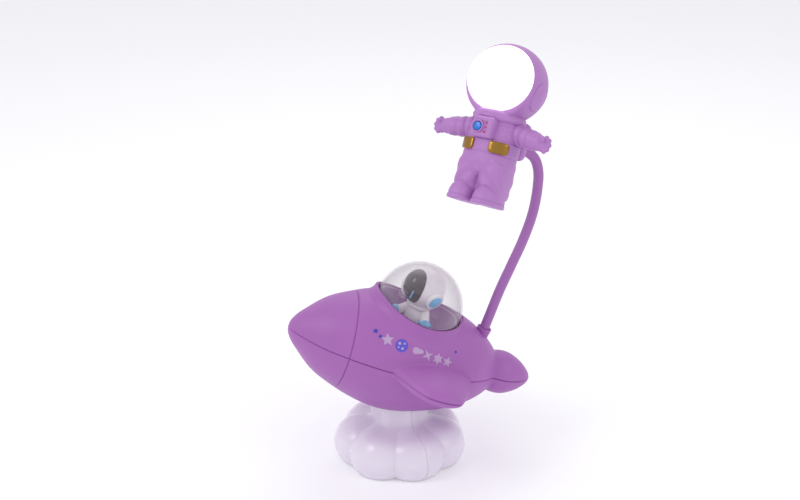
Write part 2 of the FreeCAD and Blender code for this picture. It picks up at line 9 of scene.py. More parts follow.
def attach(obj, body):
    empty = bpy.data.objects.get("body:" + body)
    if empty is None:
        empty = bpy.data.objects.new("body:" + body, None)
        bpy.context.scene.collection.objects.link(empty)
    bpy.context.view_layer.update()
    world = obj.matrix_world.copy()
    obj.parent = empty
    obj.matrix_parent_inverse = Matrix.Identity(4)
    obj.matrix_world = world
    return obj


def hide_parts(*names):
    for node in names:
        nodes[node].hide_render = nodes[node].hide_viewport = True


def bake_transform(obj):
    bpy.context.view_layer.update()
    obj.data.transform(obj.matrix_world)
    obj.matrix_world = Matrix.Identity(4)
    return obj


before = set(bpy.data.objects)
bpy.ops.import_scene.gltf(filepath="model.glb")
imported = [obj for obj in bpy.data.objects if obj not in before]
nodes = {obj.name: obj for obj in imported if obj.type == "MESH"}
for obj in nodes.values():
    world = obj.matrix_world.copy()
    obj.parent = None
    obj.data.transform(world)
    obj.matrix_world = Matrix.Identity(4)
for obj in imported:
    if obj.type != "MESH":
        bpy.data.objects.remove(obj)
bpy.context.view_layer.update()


# ---- Camera, floor and light -------------------------------------------------------------------
# A plain white sweep under large soft lights, seen from the rocket's left side and a little from
# above.  Nothing here is part of the lamp.
MM = 0.001
CAMERA_AZIMUTH = 82
CAMERA_ELEVATION = 20.8
CAMERA_DISTANCE = 900 * MM
CAMERA_LENS = 58.7
SENSOR_WIDTH = 36
AIM = Vector((0, 0, 158.9 * MM))
FLOOR_SIDE = 12          # metres
PAPER_GLOW = 0.15
SKY_STRENGTH = 0.84
# name, azimuth, elevation, distance in metres, side in metres, watts
SOFT_LIGHTS = (("key", 20, 42, 1.2, 0.5, 2.7),
               ("fill", 140, 30, 1.3, 0.6, 1.4),
               ("back", 250, 50, 1.3, 0.9, 2.5))


def seen_from(azimuth, elevation, distance):
    """Point at a distance from the aim; azimuth 0 is in front of the nose, 90 on its left."""
    a, e = math.radians(azimuth), math.radians(elevation)
    flat = math.cos(e) * distance
    return AIM + Vector((math.sin(a) * flat, -math.cos(a) * flat, math.sin(e) * distance))


def aimed(thing, place):
    """Put a camera or a light at a place, looking at the lamp."""
    thing.location = place
    thing.rotation_euler = (AIM - place).to_track_quat("-Z", "Y").to_euler()
    bpy.context.scene.collection.objects.link(thing)


def linear(code):
    """sRGB hex colour as linear RGBA."""
    values = [int(code[i:i + 2], 16) / 255 for i in (0, 2, 4)]
    return [v / 12.92 if v <= 0.04045 else ((v + 0.055) / 1.055) ** 2.4 for v in values] + [1.0]


def add_node(tree, kind, inputs=None, **settings):
    """Add a node; each input is a value or another node's output socket."""
    made = tree.nodes.new(kind)
    for key, value in settings.items():
        setattr(made, key, value)
    for key, value in (inputs or {}).items():
        if isinstance(value, bpy.types.NodeSocket):
            tree.links.new(value, made.inputs[key])
        else:
            made.inputs[key].default_value = value
    return made


def new_material(name):
    """Empty material and its node tree."""
    made = bpy.data.materials.new(name)
    made.use_nodes = True
    made.node_tree.nodes.clear()
    return made, made.node_tree


camera = bpy.data.objects.new("camera", bpy.data.cameras.new("camera"))
camera.data.lens = CAMERA_LENS
camera.data.sensor_width = SENSOR_WIDTH
aimed(camera, seen_from(CAMERA_AZIMUTH, CAMERA_ELEVATION, CAMERA_DISTANCE))
bpy.context.scene.camera = camera
bpy.context.scene.view_settings.view_transform = "Standard"

for name, azimuth, elevation, distance, side, watts in SOFT_LIGHTS:
    light = bpy.data.objects.new(name, bpy.data.lights.new(name, "AREA"))
    light.data.size = side
    light.data.energy = watts
    aimed(light, seen_from(azimuth, elevation, distance))

world = bpy.data.worlds.new("studio")
world.use_nodes = True
world.node_tree.nodes["Background"].inputs["Color"].default_value = linear("FBFBFE")
world.node_tree.nodes["Background"].inputs["Strength"].default_value = SKY_STRENGTH
bpy.context.scene.world = world

bpy.ops.mesh.primitive_plane_add(size=FLOOR_SIDE)
floor = bpy.context.object
floor.name = "studio_floor"
paper, tree = new_material("matt white paper")
shader = add_node(tree, "ShaderNodeBsdfPrincipled", {
    "Base Color": linear("EFEFF1"), "Roughness": 0.9,
    "Emission Color": linear("FFFFFF"), "Emission Strength": PAPER_GLOW})
add_node(tree, "ShaderNodeOutputMaterial", {"Surface": shader.outputs[0]})
floor.data.materials.append(paper)


# ---- Underside: silicone pad, steel plate, ballast and screws ----------------------------------
# The pad is glued to a pressed steel plate that closes the cloud from below.  An iron disc on the
# plate keeps the lamp upright, and four pan-head screws hold the plate to the cloud.
DRIFT_MM = 30            # size of the slow change of tone in a moulding
PEEL_MM = 0.2            # height that the full orange peel would have


def moulded(name, colour, roughness, grain_mm=1.2, grain=0.03, drift=0.06, scatter=0.0):
    """Moulded or lacquered plastic: faint orange peel, a slow drift of tone and uneven gloss."""
    made, tree = new_material(name)
    where = add_node(tree, "ShaderNodeTexCoord").outputs["Object"]
    slow = add_node(tree, "ShaderNodeTexNoise", {
        "Vector": where, "Scale": 1 / (DRIFT_MM * MM), "Detail": 2.0})
    tone = add_node(tree, "ShaderNodeValToRGB", {"Fac": slow.outputs["Fac"]})
    base = linear(colour)
    tone.color_ramp.elements[0].color = [v * (1 - drift) for v in base[:3]] + [1.0]
    tone.color_ramp.elements[1].color = [min(v * (1 + drift), 1.0) for v in base[:3]] + [1.0]
    fine = add_node(tree, "ShaderNodeTexNoise", {
        "Vector": where, "Scale": 1 / (grain_mm * MM), "Detail": 3.0})
    gloss = add_node(tree, "ShaderNodeMapRange", {
        "Value": fine.outputs["Fac"], "To Min": roughness - 0.05, "To Max": roughness + 0.05})
    bump = add_node(tree, "ShaderNodeBump", {
        "Height": fine.outputs["Fac"], "Strength": grain, "Distance": PEEL_MM * MM})
    shader = add_node(tree, "ShaderNodeBsdfPrincipled", {
        "Base Color": tone.outputs["Color"], "Roughness": gloss.outputs["Result"], "IOR": 1.5,
        "Normal": bump.outputs["Normal"], "Coat Roughness": 0.1, "Subsurface Weight": scatter,
        "Subsurface Radius": (1.0, 0.8, 1.0), "Subsurface Scale": 3 * MM})
    add_node(tree, "ShaderNodeOutputMaterial", {"Surface": shader.outputs[0]})
    return made


def rolled_metal(name, colour, roughness, grain_mm=0.6):
    """Bare or plated metal with a fine rolled grain that spreads the highlight."""
    made, tree = new_material(name)
    where = add_node(tree, "ShaderNodeTexCoord").outputs["Object"]
    stretched = add_node(tree, "ShaderNodeMapping", {"Vector": where, "Scale": (1.0, 1.0, 12.0)})
    grain = add_node(tree, "ShaderNodeTexNoise", {
        "Vector": stretched.outputs["Vector"], "Scale": 1 / (grain_mm * MM), "Detail": 4.0})
    gloss = add_node(tree, "ShaderNodeMapRange", {
        "Value": grain.outputs["Fac"], "To Min": roughness - 0.08, "To Max": roughness + 0.1})
    shader = add_node(tree, "ShaderNodeBsdfPrincipled", {
        "Base Color": linear(colour), "Metallic": 1.0, "Roughness": gloss.outputs["Result"]})
    add_node(tree, "ShaderNodeOutputMaterial", {"Surface": shader.outputs[0]})
    return made


def finish_node(material, *names):
    """Give CAD pieces that keep their shape a real finish."""
    for name in names:
        for slot in nodes[name].material_slots:
            slot.material = material


finish_node(moulded("matt silicone, pale grey", "CFCBD6", 0.7, grain_mm=0.5, grain=0.1), "foot_pad")
finish_node(rolled_metal("zinc-plated steel", "B9BCC0", 0.35), "base_plate", "base_screws", "stem_screws",
            "shell_screws", "suit_screws", "neck_nut")
finish_node(rolled_metal("cast iron, blackened", "4A4A4D", 0.6, grain_mm=1.5), "ballast_disc")


# ---- Cloud -------------------------------------------------------------------------------------
# The foot is a cloud of seven round lobes that sweeps up into a short fluted column.  It is
# smooth milky polypropylene, moulded in two halves that meet in a fine seam over one lobe.
LOBES = 7
LOBE_R = 17.5
LOBE_RING_R = 30.5
LOBE_Z = 13.0
LOBE_TOP_TURN = 58       # degrees up the lobe where the sweep to the column starts
LOBE_SHRINK = 2.2        # how much smaller a lobe's section is in the valleys
VALLEY_DEPTH = 4.4
CLOUD_FLOOR = 0.8
COLUMN_FOOT_Z = 36.5
COLUMN_TOP_Z = 46.0
COLUMN_R = 20.3
FLUTE_DEPTH = 0.8
CLOUD_WALL = 2.0
PARTING_AZ = 106.0
SEAM_DEPTH = 0.4
SEAM_HALF = 0.5
SEAM_COLUMNS = (0.0, 0.15, 0.35, 0.7, 1.2)     # distances from the seam, on the surface
SEAM_RADIUS = 38.0       # where those distances are true
COLUMN_DRAFT = 0.08


def milky(name, colour, roughness):
    """Translucent moulding: light scatters under a hard gloss."""
    made, tree = new_material(name)
    where = add_node(tree, "ShaderNodeTexCoord").outputs["Object"]
    cloudy = add_node(tree, "ShaderNodeTexNoise", {"Vector": where, "Scale": 1 / (22 * MM), "Detail": 3.0})
    tone = add_node(tree, "ShaderNodeValToRGB", {"Fac": cloudy.outputs["Fac"]})
    base = linear(colour)
    tone.color_ramp.elements[0].color = [base[0] * 0.95, base[1] * 0.92, base[2] * 0.96, 1.0]
    tone.color_ramp.elements[1].color = [min(v * 1.04, 1.0) for v in base[:3]] + [1.0]
    ripple = add_node(tree, "ShaderNodeTexNoise", {"Vector": where, "Scale": 1 / (6 * MM), "Detail": 1.0})
    bump = add_node(tree, "ShaderNodeBump", {"Height": ripple.outputs["Fac"], "Strength": 0.03,
                                             "Distance": 0.3 * MM})
    shader = add_node(tree, "ShaderNodeBsdfPrincipled", {
        "Base Color": tone.outputs["Color"], "Roughness": roughness, "IOR": 1.49,
        "Subsurface Weight": 0.35, "Subsurface Radius": (1.0, 0.9, 1.0), "Subsurface Scale": 4 * MM,
        "Normal": bump.outputs["Normal"]})
    add_node(tree, "ShaderNodeOutputMaterial", {"Surface": shader.outputs[0]})
    return made


def add_shell(bm, outer, inner, keep=None):
    """Closed wall between two open grids of points; keep says which quads of them exist."""
    rows, columns = outer.shape[:2]
    keep = np.ones((rows - 1, columns - 1), bool) if keep is None else keep
    sides = [[bm.verts.new(p) for p in grid.reshape(-1, 3)] for grid in (outer, inner)]
    rim = {}
    for i, j in zip(*np.nonzero(keep)):
        corners = [i * columns + j, i * columns + j + 1, (i + 1) * columns + j + 1, (i + 1) * columns + j]
        bm.faces.new([sides[0][k] for k in corners])
        bm.faces.new([sides[1][k] for k in reversed(corners)])
        for a, b in zip(corners, corners[1:] + corners[:1]):
            if rim.pop((b, a), None) is None:
                rim[(a, b)] = True
    for a, b in rim:
        bm.faces.new([sides[0][b], sides[0][a], sides[1][a], sides[1][b]])
    bmesh.ops.delete(bm, geom=[v for v in bm.verts if not v.link_faces], context="VERTS")


def finished(name, bm, place, material, hard_edge=35.0):
    """Merge poles, turn the faces outwards, mark hard edges and place the piece in the lamp."""
    bmesh.ops.remove_doubles(bm, verts=bm.verts, dist=2e-4)
    bmesh.ops.dissolve_degenerate(bm, edges=bm.edges, dist=1e-5)
    gaps = [edge for edge in bm.edges if edge.is_boundary]
    if gaps:
        bmesh.ops.holes_fill(bm, edges=gaps, sides=0)
    bmesh.ops.recalc_face_normals(bm, faces=bm.faces)
    for face in bm.faces:
        face.smooth = True
    for edge in bm.edges:
        if len(edge.link_faces) == 2 and edge.calc_face_angle(0) > math.radians(hard_edge):
            edge.smooth = False
    bmesh.ops.transform(bm, matrix=Matrix.Scale(MM, 4) @ place, verts=bm.verts)
    mesh = bpy.data.meshes.new(name)
    bm.to_mesh(mesh)
    bm.free()
    mesh.materials.append(material)
    made = bpy.data.objects.new(name, mesh)
    bpy.context.scene.collection.objects.link(made)
    return made


def fitted(piece, body, slot, *replaced):
    """Hide the nodes that the piece stands for and tie it to what it moves with; the slot is not used."""
    if replaced:
        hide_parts(*replaced)
    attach(piece, body)


def smoothstep(x):
    """0 below 0 and 1 above 1, with a soft rise between."""
    t = np.clip(x, 0, 1)
    return t * t * (3 - 2 * t)


def ease_weights(t):
    """Weights of the start, its slope, the end and its slope along a smooth piece of curve."""
    return (2 * t ** 3 - 3 * t ** 2 + 1, t ** 3 - 2 * t ** 2 + t, 3 * t ** 2 - 2 * t ** 3,
            t ** 3 - t ** 2)


def cloud_grid(start, end, inset):
    """Points from the foot's edge up to the column's top, over half of the cloud."""
    near = np.degrees(np.array(SEAM_COLUMNS) / SEAM_RADIUS)
    angles = np.concatenate([start + near, np.linspace(start + 3, end - 3, 116), end - near[::-1]])
    off = (np.radians(angles) + math.pi / LOBES) % (2 * math.pi / LOBES) - math.pi / LOBES
    distance = np.radians(np.minimum(angles - start, end - angles)) * SEAM_RADIUS
    inset = inset + SEAM_DEPTH * (1 - smoothstep(distance / SEAM_HALF))
    share = (off / (math.pi / LOBES)) ** 2
    lobe_r = LOBE_R - LOBE_SHRINK * share - inset
    centre_r = LOBE_RING_R - (VALLEY_DEPTH - LOBE_SHRINK) * share
    flute = FLUTE_DEPTH * np.cos(off * LOBES)
    rows = []
    lowest = np.arcsin((CLOUD_FLOOR - LOBE_Z) / np.maximum(lobe_r, LOBE_Z - CLOUD_FLOOR + 0.01))
    turn_in = math.radians(LOBE_TOP_TURN)
    for t in np.linspace(0, 1, 30):
        u = lowest * (1 - t) + turn_in * t
        rows.append((centre_r + lobe_r * np.cos(u), LOBE_Z + lobe_r * np.sin(u)))
    from_r, from_z = rows[-1]
    to_r = COLUMN_R + flute - inset
    pull = 1.15 * np.hypot(to_r - from_r, COLUMN_FOOT_Z - from_z)
    for t in np.linspace(0, 1, 20)[1:]:
        a, b, c, d = ease_weights(t)
        rows.append((a * from_r - b * pull * math.sin(turn_in) + c * to_r,
                     a * from_z + b * pull * math.cos(turn_in)
                     + c * (COLUMN_FOOT_Z - inset * 0.3) + d * pull))
    for z in np.linspace(COLUMN_FOOT_Z, COLUMN_TOP_Z, 8)[1:]:
        rows.append((to_r - COLUMN_DRAFT * (z - COLUMN_FOOT_Z), z + 0 * to_r))
    turn = np.radians(angles)
    return np.array([np.stack([r * np.sin(turn), -r * np.cos(turn), z], -1) for r, z in rows])


MILKY_LILAC = milky("milky polypropylene, lilac white", "E5DDEB", 0.16)
IN_LAMP = Matrix.Identity(4)
for end, start in (("front", PARTING_AZ - 180), ("rear", PARTING_AZ)):
    bm = bmesh.new()
    add_shell(bm, cloud_grid(start, start + 180, 0), cloud_grid(start, start + 180, CLOUD_WALL))
    half = finished(f"cloud_{end}_half", bm, IN_LAMP, MILKY_LILAC)
    fitted(half, "lamp_body", "cloud", f"cloud_shell_{end}")
finish_node(moulded("solder mask, green", "1E5B34", 0.35, grain=0.01),
            "glow_board", "main_board", "light_board")


# ---- Rocket body -------------------------------------------------------------------------------
# Two halves of soft-touch lacquered ABS, split along the middle plane, with a leaf-shaped wing
# moulded into each side.  A ring groove sets off the nose, and the seam is a fine dark line.
# In the rocket's own frame x is its left, y runs along its axis from the nose, z is square to it.
NOSE = Vector((0, -78.7, 106.6))
PITCH = -16.8
IN_ROCKET = Matrix.Translation(NOSE) @ Matrix.Rotation(math.radians(PITCH), 4, "X")
# distance from the nose, radius
BODY = ((0, 0), (0.9, 4), (3.6, 8.6), (10, 15.2), (23, 26.2), (38, 33.6), (51, 38.4), (67, 42.3),
        (79, 43.2), (90, 42.3), (102, 39.9), (114, 36.6), (124, 32.8), (134, 27.8), (143, 21.4), (150, 14.6))
TAIL = ((150, 14.6), (154, 15.4), (160, 15.4), (168, 12.6), (175, 8.0), (179.4, 3.2), (180.9, 0))
# distance out from the axis, middle along the axis, half length, half thickness
WING = ((24, 99, 31, 11.5), (42, 99, 28, 10.5), (54, 100.5, 22.5, 9), (64, 102, 17, 6.8),
        (71, 103.5, 11.5, 4.4), (73.3, 104.2, 6, 2.3), (74, 104.5, 0.6, 0.3))
WING_BLEND = 2.5
HULL_WALL = 2.0
NOSE_RING = 41.0
TAIL_RING = 131.5
RING_STEPS = (-0.7, -0.3, 0, 0.3, 0.7)          # stations that draw a ring groove
RING_HALF = 0.65
NOSE_GROOVE = 0.75
TAIL_GROOVE = 0.15
SEAM_GROOVE = 1.0
SEAM_STEPS = (0, 0.2, 0.45, 0.9, 1.5, 2.4)      # distances from the seam that draw its groove
HULL_SEAM_HALF = 0.55
CANOPY = Vector((0, 85.3, 36.4))
CANOPY_R = 31.0


def curve_through(points, count):
    """Points at even steps along a smooth curve through the given ones."""
    p = np.array(points, float)
    run = np.concatenate([[0], np.cumsum(np.linalg.norm(np.diff(p, axis=0), axis=1))])
    step = np.diff(run)[:, None]
    slope = np.diff(p, axis=0) / step
    inner = (slope[:-1] * step[1:] + slope[1:] * step[:-1]) / (step[1:] + step[:-1])
    tangent = np.vstack([slope[:1], inner, slope[-1:]])
    fine = []
    a, b, c, d = ease_weights(np.linspace(0, 1, 60)[:, None])
    for k in range(len(step)):
        fine.append(a * p[k] + b * step[k] * tangent[k] + c * p[k + 1] + d * step[k] * tangent[k + 1])
    fine = np.vstack(fine)
    travelled = np.concatenate([[0], np.cumsum(np.linalg.norm(np.diff(fine, axis=0), axis=1))])
    wanted = np.linspace(0, travelled[-1], count)
    return np.stack([np.interp(wanted, travelled, fine[:, k]) for k in range(p.shape[1])], 1)


OUTLINE = np.vstack([curve_through(BODY, 400), curve_through(TAIL, 160)[1:]])
WING_LINE = curve_through(WING, 260)


def hull_radius(s, angle):
    """Distance of the hull's skin from the axis at a station, looking out at an angle from +X."""
    body = np.interp(s, OUTLINE[:, 0], OUTLINE[:, 1])
    out, middle, length, thick = WING_LINE.T
    lean = np.abs(np.sin(angle))[..., None]
    level = np.abs(np.cos(angle))[..., None] + 1e-6
    inside = np.clip(1 - ((s[..., None] - middle) / length) ** 2, 0, None)
    height = thick * np.sqrt(inside) - out * lean / level
    wing = np.where((height > 0) & (inside > 0), out, 0).max(-1)
    # The edge runs on from the last section inside the wing to where the height is nothing.
    last = np.clip(np.searchsorted(out, wing), 0, len(out) - 2)
    here, there = (np.take_along_axis(height, (last + k)[..., None], -1)[..., 0] for k in (0, 1))
    share = np.clip(here / np.where(here - there > 1e-6, here - there, 1), 0, 1)
    wing = np.where(wing > 0, wing + share * (out[last + 1] - out[last]), 0) / level[..., 0]
    near = np.clip(WING_BLEND - np.abs(body - wing), 0, None)
    return np.maximum(body, wing) + np.where(body > 5, near ** 2 / (4 * WING_BLEND), 0)


def hull_grid(side, inset):
    """Open grid over the upper (side 1) or lower (side -1) half of the hull."""
    stations = curve_through(OUTLINE[::14], 215)[:, 0]
    rings = [ring + step for ring in (NOSE_RING, TAIL_RING) for step in RING_STEPS]
    stations = np.sort(np.concatenate([[0.0], stations[1:-1], rings, [OUTLINE[-1, 0]]]))
    if inset:
        stations = np.clip(stations, 3.0, OUTLINE[-1, 0] - 3.0)
    edge_r = np.maximum(hull_radius(stations, np.zeros_like(stations)), 6.0)[:, None]
    near = np.array(SEAM_STEPS)[None, :] / edge_r
    flank = near[:, -1:] + (math.radians(30) - near[:, -1:]) * np.linspace(0, 1, 46)[None, 1:]
    quarter = np.hstack([near, flank])
    top = np.radians(np.linspace(30, 150, 34))[None, 1:-1] + 0 * edge_r
    angles = np.hstack([quarter, top, math.pi - quarter[:, ::-1]])
    s = stations[:, None] + 0 * angles
    radius = hull_radius(s, angles)
    seam = np.minimum(angles, math.pi - angles) * edge_r
    groove = SEAM_GROOVE * (1 - smoothstep(seam / HULL_SEAM_HALF))
    groove += NOSE_GROOVE * (1 - smoothstep(np.abs(s - NOSE_RING) / RING_HALF))
    groove += TAIL_GROOVE * (1 - smoothstep(np.abs(s - TAIL_RING) / RING_HALF))
    radius = np.maximum(radius - np.minimum(groove, radius * 0.15) * (inset == 0) - inset, 0)
    return np.stack([radius * np.cos(angles), s, side * radius * np.sin(angles)], -1)


SOFT_PURPLE = moulded("ABS, soft-touch lacquer, purple", "A362AE", 0.46, grain_mm=0.9, grain=0.05)
for half, side in (("upper", 1), ("lower", -1)):
    outer, inner = hull_grid(side, 0), hull_grid(side, HULL_WALL)
    keep = np.ones((outer.shape[0] - 1, outer.shape[1] - 1), bool)
    if side == 1:
        middle = (outer[:-1, :-1] + outer[1:, 1:]) / 2
        keep = np.hypot(middle[..., 0], middle[..., 1] - CANOPY.y) > CANOPY_R + 2.0
    bm = bmesh.new()
    add_shell(bm, outer, inner, keep)
    hull = finished(f"rocket_{half}_half", bm, IN_ROCKET, SOFT_PURPLE)
    fitted(hull, "lamp_body", "purple", f"rocket_{half}_shell")


# ---- Canopy collar -----------------------------------------------------------------------------
# A raised band moulded with the upper half.  Its lip is saddle-shaped, higher at the front, and
# its foot flares out to meet the hull all round.
RIM = ((51.6, 43.1), (85.3, 33.2), (119.4, 34.2))       # distance along the axis, height of the lip
COLLAR_BORE = 31.4
LIP_R, LIP_OVAL = 33.5, 0.3
FOOT_R, FOOT_OVAL = 36.2, 1.3
FLARE = 1.8              # above 1, the flare starts steep and ends flat


def rim_height(s):
    """Height of the collar's lip at a distance along the rocket's axis."""
    return np.polyval(np.polyfit(*zip(*RIM), 2), s)


def hull_height(x, s):
    """Height of the round hull above the middle plane."""
    return np.sqrt(np.clip(np.interp(s, OUTLINE[:, 0], OUTLINE[:, 1]) ** 2 - x ** 2, 0, None))


turn = np.linspace(0, 2 * math.pi, 160, endpoint=False)
lip_r = LIP_R + LIP_OVAL * np.cos(2 * turn)
foot_r = FOOT_R + FOOT_OVAL * np.cos(2 * turn)
lip = rim_height(CANOPY.y - lip_r * np.cos(turn))
foot = hull_height(foot_r * np.sin(turn), CANOPY.y - foot_r * np.cos(turn))
ring = [(COLLAR_BORE + 0 * turn, foot - 2.5), (COLLAR_BORE + 0 * turn, lip - 0.9),
        (COLLAR_BORE + 0.25, lip - 0.25), (COLLAR_BORE + 0.8, lip), (lip_r - 0.6, lip - 0.05),
        (lip_r - 0.1, lip - 0.4)]
for t in np.linspace(0.12, 1, 10):
    ring.append((lip_r + (foot_r - lip_r) * t ** FLARE, lip - 0.6 + (foot + 0.1 - lip + 0.6) * t))
ring += [(foot_r + 0.5, foot - 0.5), (foot_r + 0.2, foot - 2.5)]


def round_grid(rows):
    """Grid round the canopy's axis from rows of radius and height."""
    return np.array([np.stack([r * np.sin(turn), CANOPY.y - r * np.cos(turn), h + 0 * turn], -1)
                     for r, h in rows])


def add_loops(bm, grid, capped=False):
    """Skin over a grid whose columns close; the rows close too, unless the ends are capped."""
    rows, columns = grid.shape[:2]
    made = [[bm.verts.new(p) for p in row] for row in grid]
    for i in range(rows - 1 if capped else rows):
        above, below = made[i], made[(i + 1) % rows]
        for j in range(columns):
            k = (j + 1) % columns
            bm.faces.new((above[j], above[k], below[k], below[j]))
    if capped:
        for row in (made[0][::-1], made[-1]):
            bm.faces.new(row)


bm = bmesh.new()
add_loops(bm, round_grid(ring))
fitted(finished("canopy_collar", bm, IN_ROCKET, SOFT_PURPLE), "lamp_body", "purple", "rocket_upper_shell")


# ---- Canopy and cockpit ------------------------------------------------------------------------
# The canopy is most of a sphere, injection-moulded in clear polystyrene and pressed into the
# collar.  Under it is a purple bowl with a flat floor, whose wall is divided by panel lines.
CANOPY_T = 1.2
CANOPY_SUNK = 3.0        # how far the canopy goes down behind the collar's lip
TUB_R = 29.6
TUB_WALL = 1.6
TUB_FLOOR = 15.2
TUB_FLOOR_T = 1.4
TUB_SUNK = 0.6
PANEL_LINES = 10
PANEL_LINE_DEPTH = 0.5
PANEL_BAND = 0.55        # where the level line runs, as a share of the wall's height from the lip


def dome_rows(radius, drop, steps):
    """Rows of a dome from its crown down to a little below the lip."""
    rim = np.full_like(turn, 1.5)
    for _ in range(30):      # the lip's height depends on the angle that it gives, so it is settled in steps
        level = rim_height(CANOPY.y - radius * np.sin(rim) * np.cos(turn)) - drop
        rim = np.arccos(np.clip((level - CANOPY.z) / radius + 0 * turn, -1, 1)) * 0.5 + rim * 0.5
    return [(radius * np.sin(rim * t), CANOPY.z + radius * np.cos(rim * t))
            for t in np.linspace(0, 1, steps)]


CLEAR, tree = new_material("clear injection-moulded polystyrene")
# Face-on the canopy is a faint grey-lilac veil over what lies behind it, the plastic's own tint (alpha
# 0.07); towards its glancing edges the veil thickens to 0.42, and that thickening is painted reflection,
# standing in for the clear plastic's real glancing reflection.
edge_on = add_node(tree, "ShaderNodeLayerWeight", {"Blend": 0.35})
painted_edge_reflection = add_node(tree, "ShaderNodeMapRange", {
    "Value": edge_on.outputs["Facing"], "From Min": 0.0, "From Max": 0.9, "To Min": 0.07, "To Max": 0.42})
shader = add_node(tree, "ShaderNodeBsdfPrincipled", {
    "Base Color": linear("CBBFC9"), "Roughness": 0.04, "IOR": 1.59, "Alpha": painted_edge_reflection.outputs["Result"],
    "Specular IOR Level": 0.9})
add_node(tree, "ShaderNodeOutputMaterial", {"Surface": shader.outputs[0]})
bm = bmesh.new()
outer, inner = (dome_rows(r, CANOPY_SUNK, 44) for r in (CANOPY_R, CANOPY_R - CANOPY_T))
add_loops(bm, round_grid(outer + inner[::-1]))
fitted(finished("canopy", bm, IN_ROCKET, CLEAR), "lamp_body", "clear", "canopy_dome")

TUB_PURPLE = moulded("moulded ABS, cockpit purple", "9A62A6", 0.35, grain_mm=0.8)


def bowl_rows(radius, groove):
    """Bowl from its lip to its floor, with raised panels between lines."""
    lip_angle = np.arccos((rim_height(CANOPY.y - radius * np.cos(turn)) - TUB_SUNK - CANOPY.z) / radius)
    floor_angle = math.acos((TUB_FLOOR - CANOPY.z) / radius)
    rows = []
    for t in np.linspace(0, 1, 26):
        u = lip_angle + (floor_angle - lip_angle) * t
        upright = np.abs((turn * PANEL_LINES / (2 * math.pi) + 0.5) % 1 - 0.5) * 18
        line = np.minimum(upright, np.abs(t - PANEL_BAND) * 20)
        r = radius + groove * (1 - smoothstep(line / 0.6))
        rows.append((r * np.sin(u), CANOPY.z + r * np.cos(u)))
    return rows


bm = bmesh.new()
inside = bowl_rows(TUB_R - TUB_WALL, PANEL_LINE_DEPTH)
outside = bowl_rows(TUB_R, 0)
middle = [(inside[-1][0] * t, TUB_FLOOR + 0 * turn) for t in (0.66, 0.33, 0.0)]
under = [(outside[-1][0] * t, TUB_FLOOR - TUB_FLOOR_T + 0 * turn) for t in (0.0, 0.33, 0.66, 1.0)]
add_loops(bm, round_grid(inside + middle + under + outside[::-1]))
fitted(finished("cockpit_bowl", bm, IN_ROCKET, TUB_PURPLE), "lamp_body", "inner_plastic", "cockpit_tub")


# ---- Pilot -------------------------------------------------------------------------------------
# A little glossy white vinyl figure sits in the bowl, looking past the nose to its left.  The
# visor, the discs over the ears and the gloves are separate glossy mouldings.
PILOT_TURN = 44.7
PILOT_HEAD_R = 14.6
IN_PILOT = IN_ROCKET @ Matrix.Translation((0, CANOPY.y, TUB_FLOOR)) @ Matrix.Rotation(
    math.radians(PILOT_TURN), 4, "Z")
HEAD_UP = 35.2
PILOT_HEAD = Vector((0, 0.3, HEAD_UP))
EAR_WAY = Vector((0.905, -0.247, -0.326)).normalized()     # from the head's middle to an ear
VISOR_R = (11.0, 10.6, 12.4)
# radius, height above the disc's seat
EAR_SEAT = ((0, 0), (6.9, 0), (6.9, 1.3), (6.6, 1.95), (5.6, 2.2), (0, 2.2))
EAR_CAP = ((0, 0), (4.9, 0), (4.9, 1.2), (4.5, 1.75), (2.4, 2.1), (0, 2.2))
PILOT_COLLAR = ((0, 0), (8.2, 0), (9.0, 0.7), (9.0, 1.9), (8.2, 2.6), (0, 2.6))
VINYL_WHITE = moulded("glossy vinyl, white", "EDE8EC", 0.2, grain=0.01, scatter=0.15)
SKY_BLUE = moulded("glossy vinyl, sky blue", "62B9E6", 0.22, grain=0.01)
VISOR_BLACK = moulded("glossy acrylic, black", "060608", 0.08, grain=0.0, drift=0.2)


def ball(bm, centre, radii, rings=26, sides=36):
    """Closed ellipsoid."""
    u = np.linspace(0, math.pi, rings)[:, None]
    v = np.linspace(0, 2 * math.pi, sides, endpoint=False)[None, :]
    shape = np.stack([np.sin(u) * np.cos(v), np.sin(u) * np.sin(v), np.cos(u) + 0 * v], -1) * np.array(radii)
    add_loops(bm, shape + np.array(centre, float), capped=True)


def bar(bm, start, end, r_start, r_end, sides=28):
    """Closed round bar with domed ends."""
    a, b = Vector(start), Vector(end)
    axis = (b - a).normalized()
    across = axis.orthogonal().normalized()
    other = axis.cross(across)
    rows = []
    for u in np.linspace(-math.pi / 2, math.pi / 2, 18):
        middle, r = (a, r_start) if u < 0 else (b, r_end)
        row = []
        for v in np.linspace(0, 2 * math.pi, sides, endpoint=False):
            flat = r * math.cos(u)
            row.append(tuple(middle + axis * (r * math.sin(u)) + across * (flat * math.cos(v))
                             + other * (flat * math.sin(v))))
        rows.append(row)
    add_loops(bm, np.array(rows), capped=True)


def lathe(bm, outline, centre, axis, sides=64):
    """Closed turned shape from (radius, height) points, pole to pole."""
    to_axis = np.array(Vector((0, 0, 1)).rotation_difference(Vector(axis)).to_matrix())
    v = np.linspace(0, 2 * math.pi, sides, endpoint=False)[None, :]
    r, z = np.array(outline, float).T[..., None]
    shape = np.stack([r * np.cos(v), r * np.sin(v), z + 0 * v], -1) @ to_axis.T
    add_loops(bm, shape + np.array(centre, float), capped=True)


def on_both_ears(bm, outline, sunk):
    """Turned disc over each ear, its seat sunk under the helmet's skin."""
    for side in (-1, 1):
        ear = Vector((side * EAR_WAY[0], EAR_WAY[1], EAR_WAY[2]))
        lathe(bm, outline, PILOT_HEAD + ear * (PILOT_HEAD_R - sunk), ear)


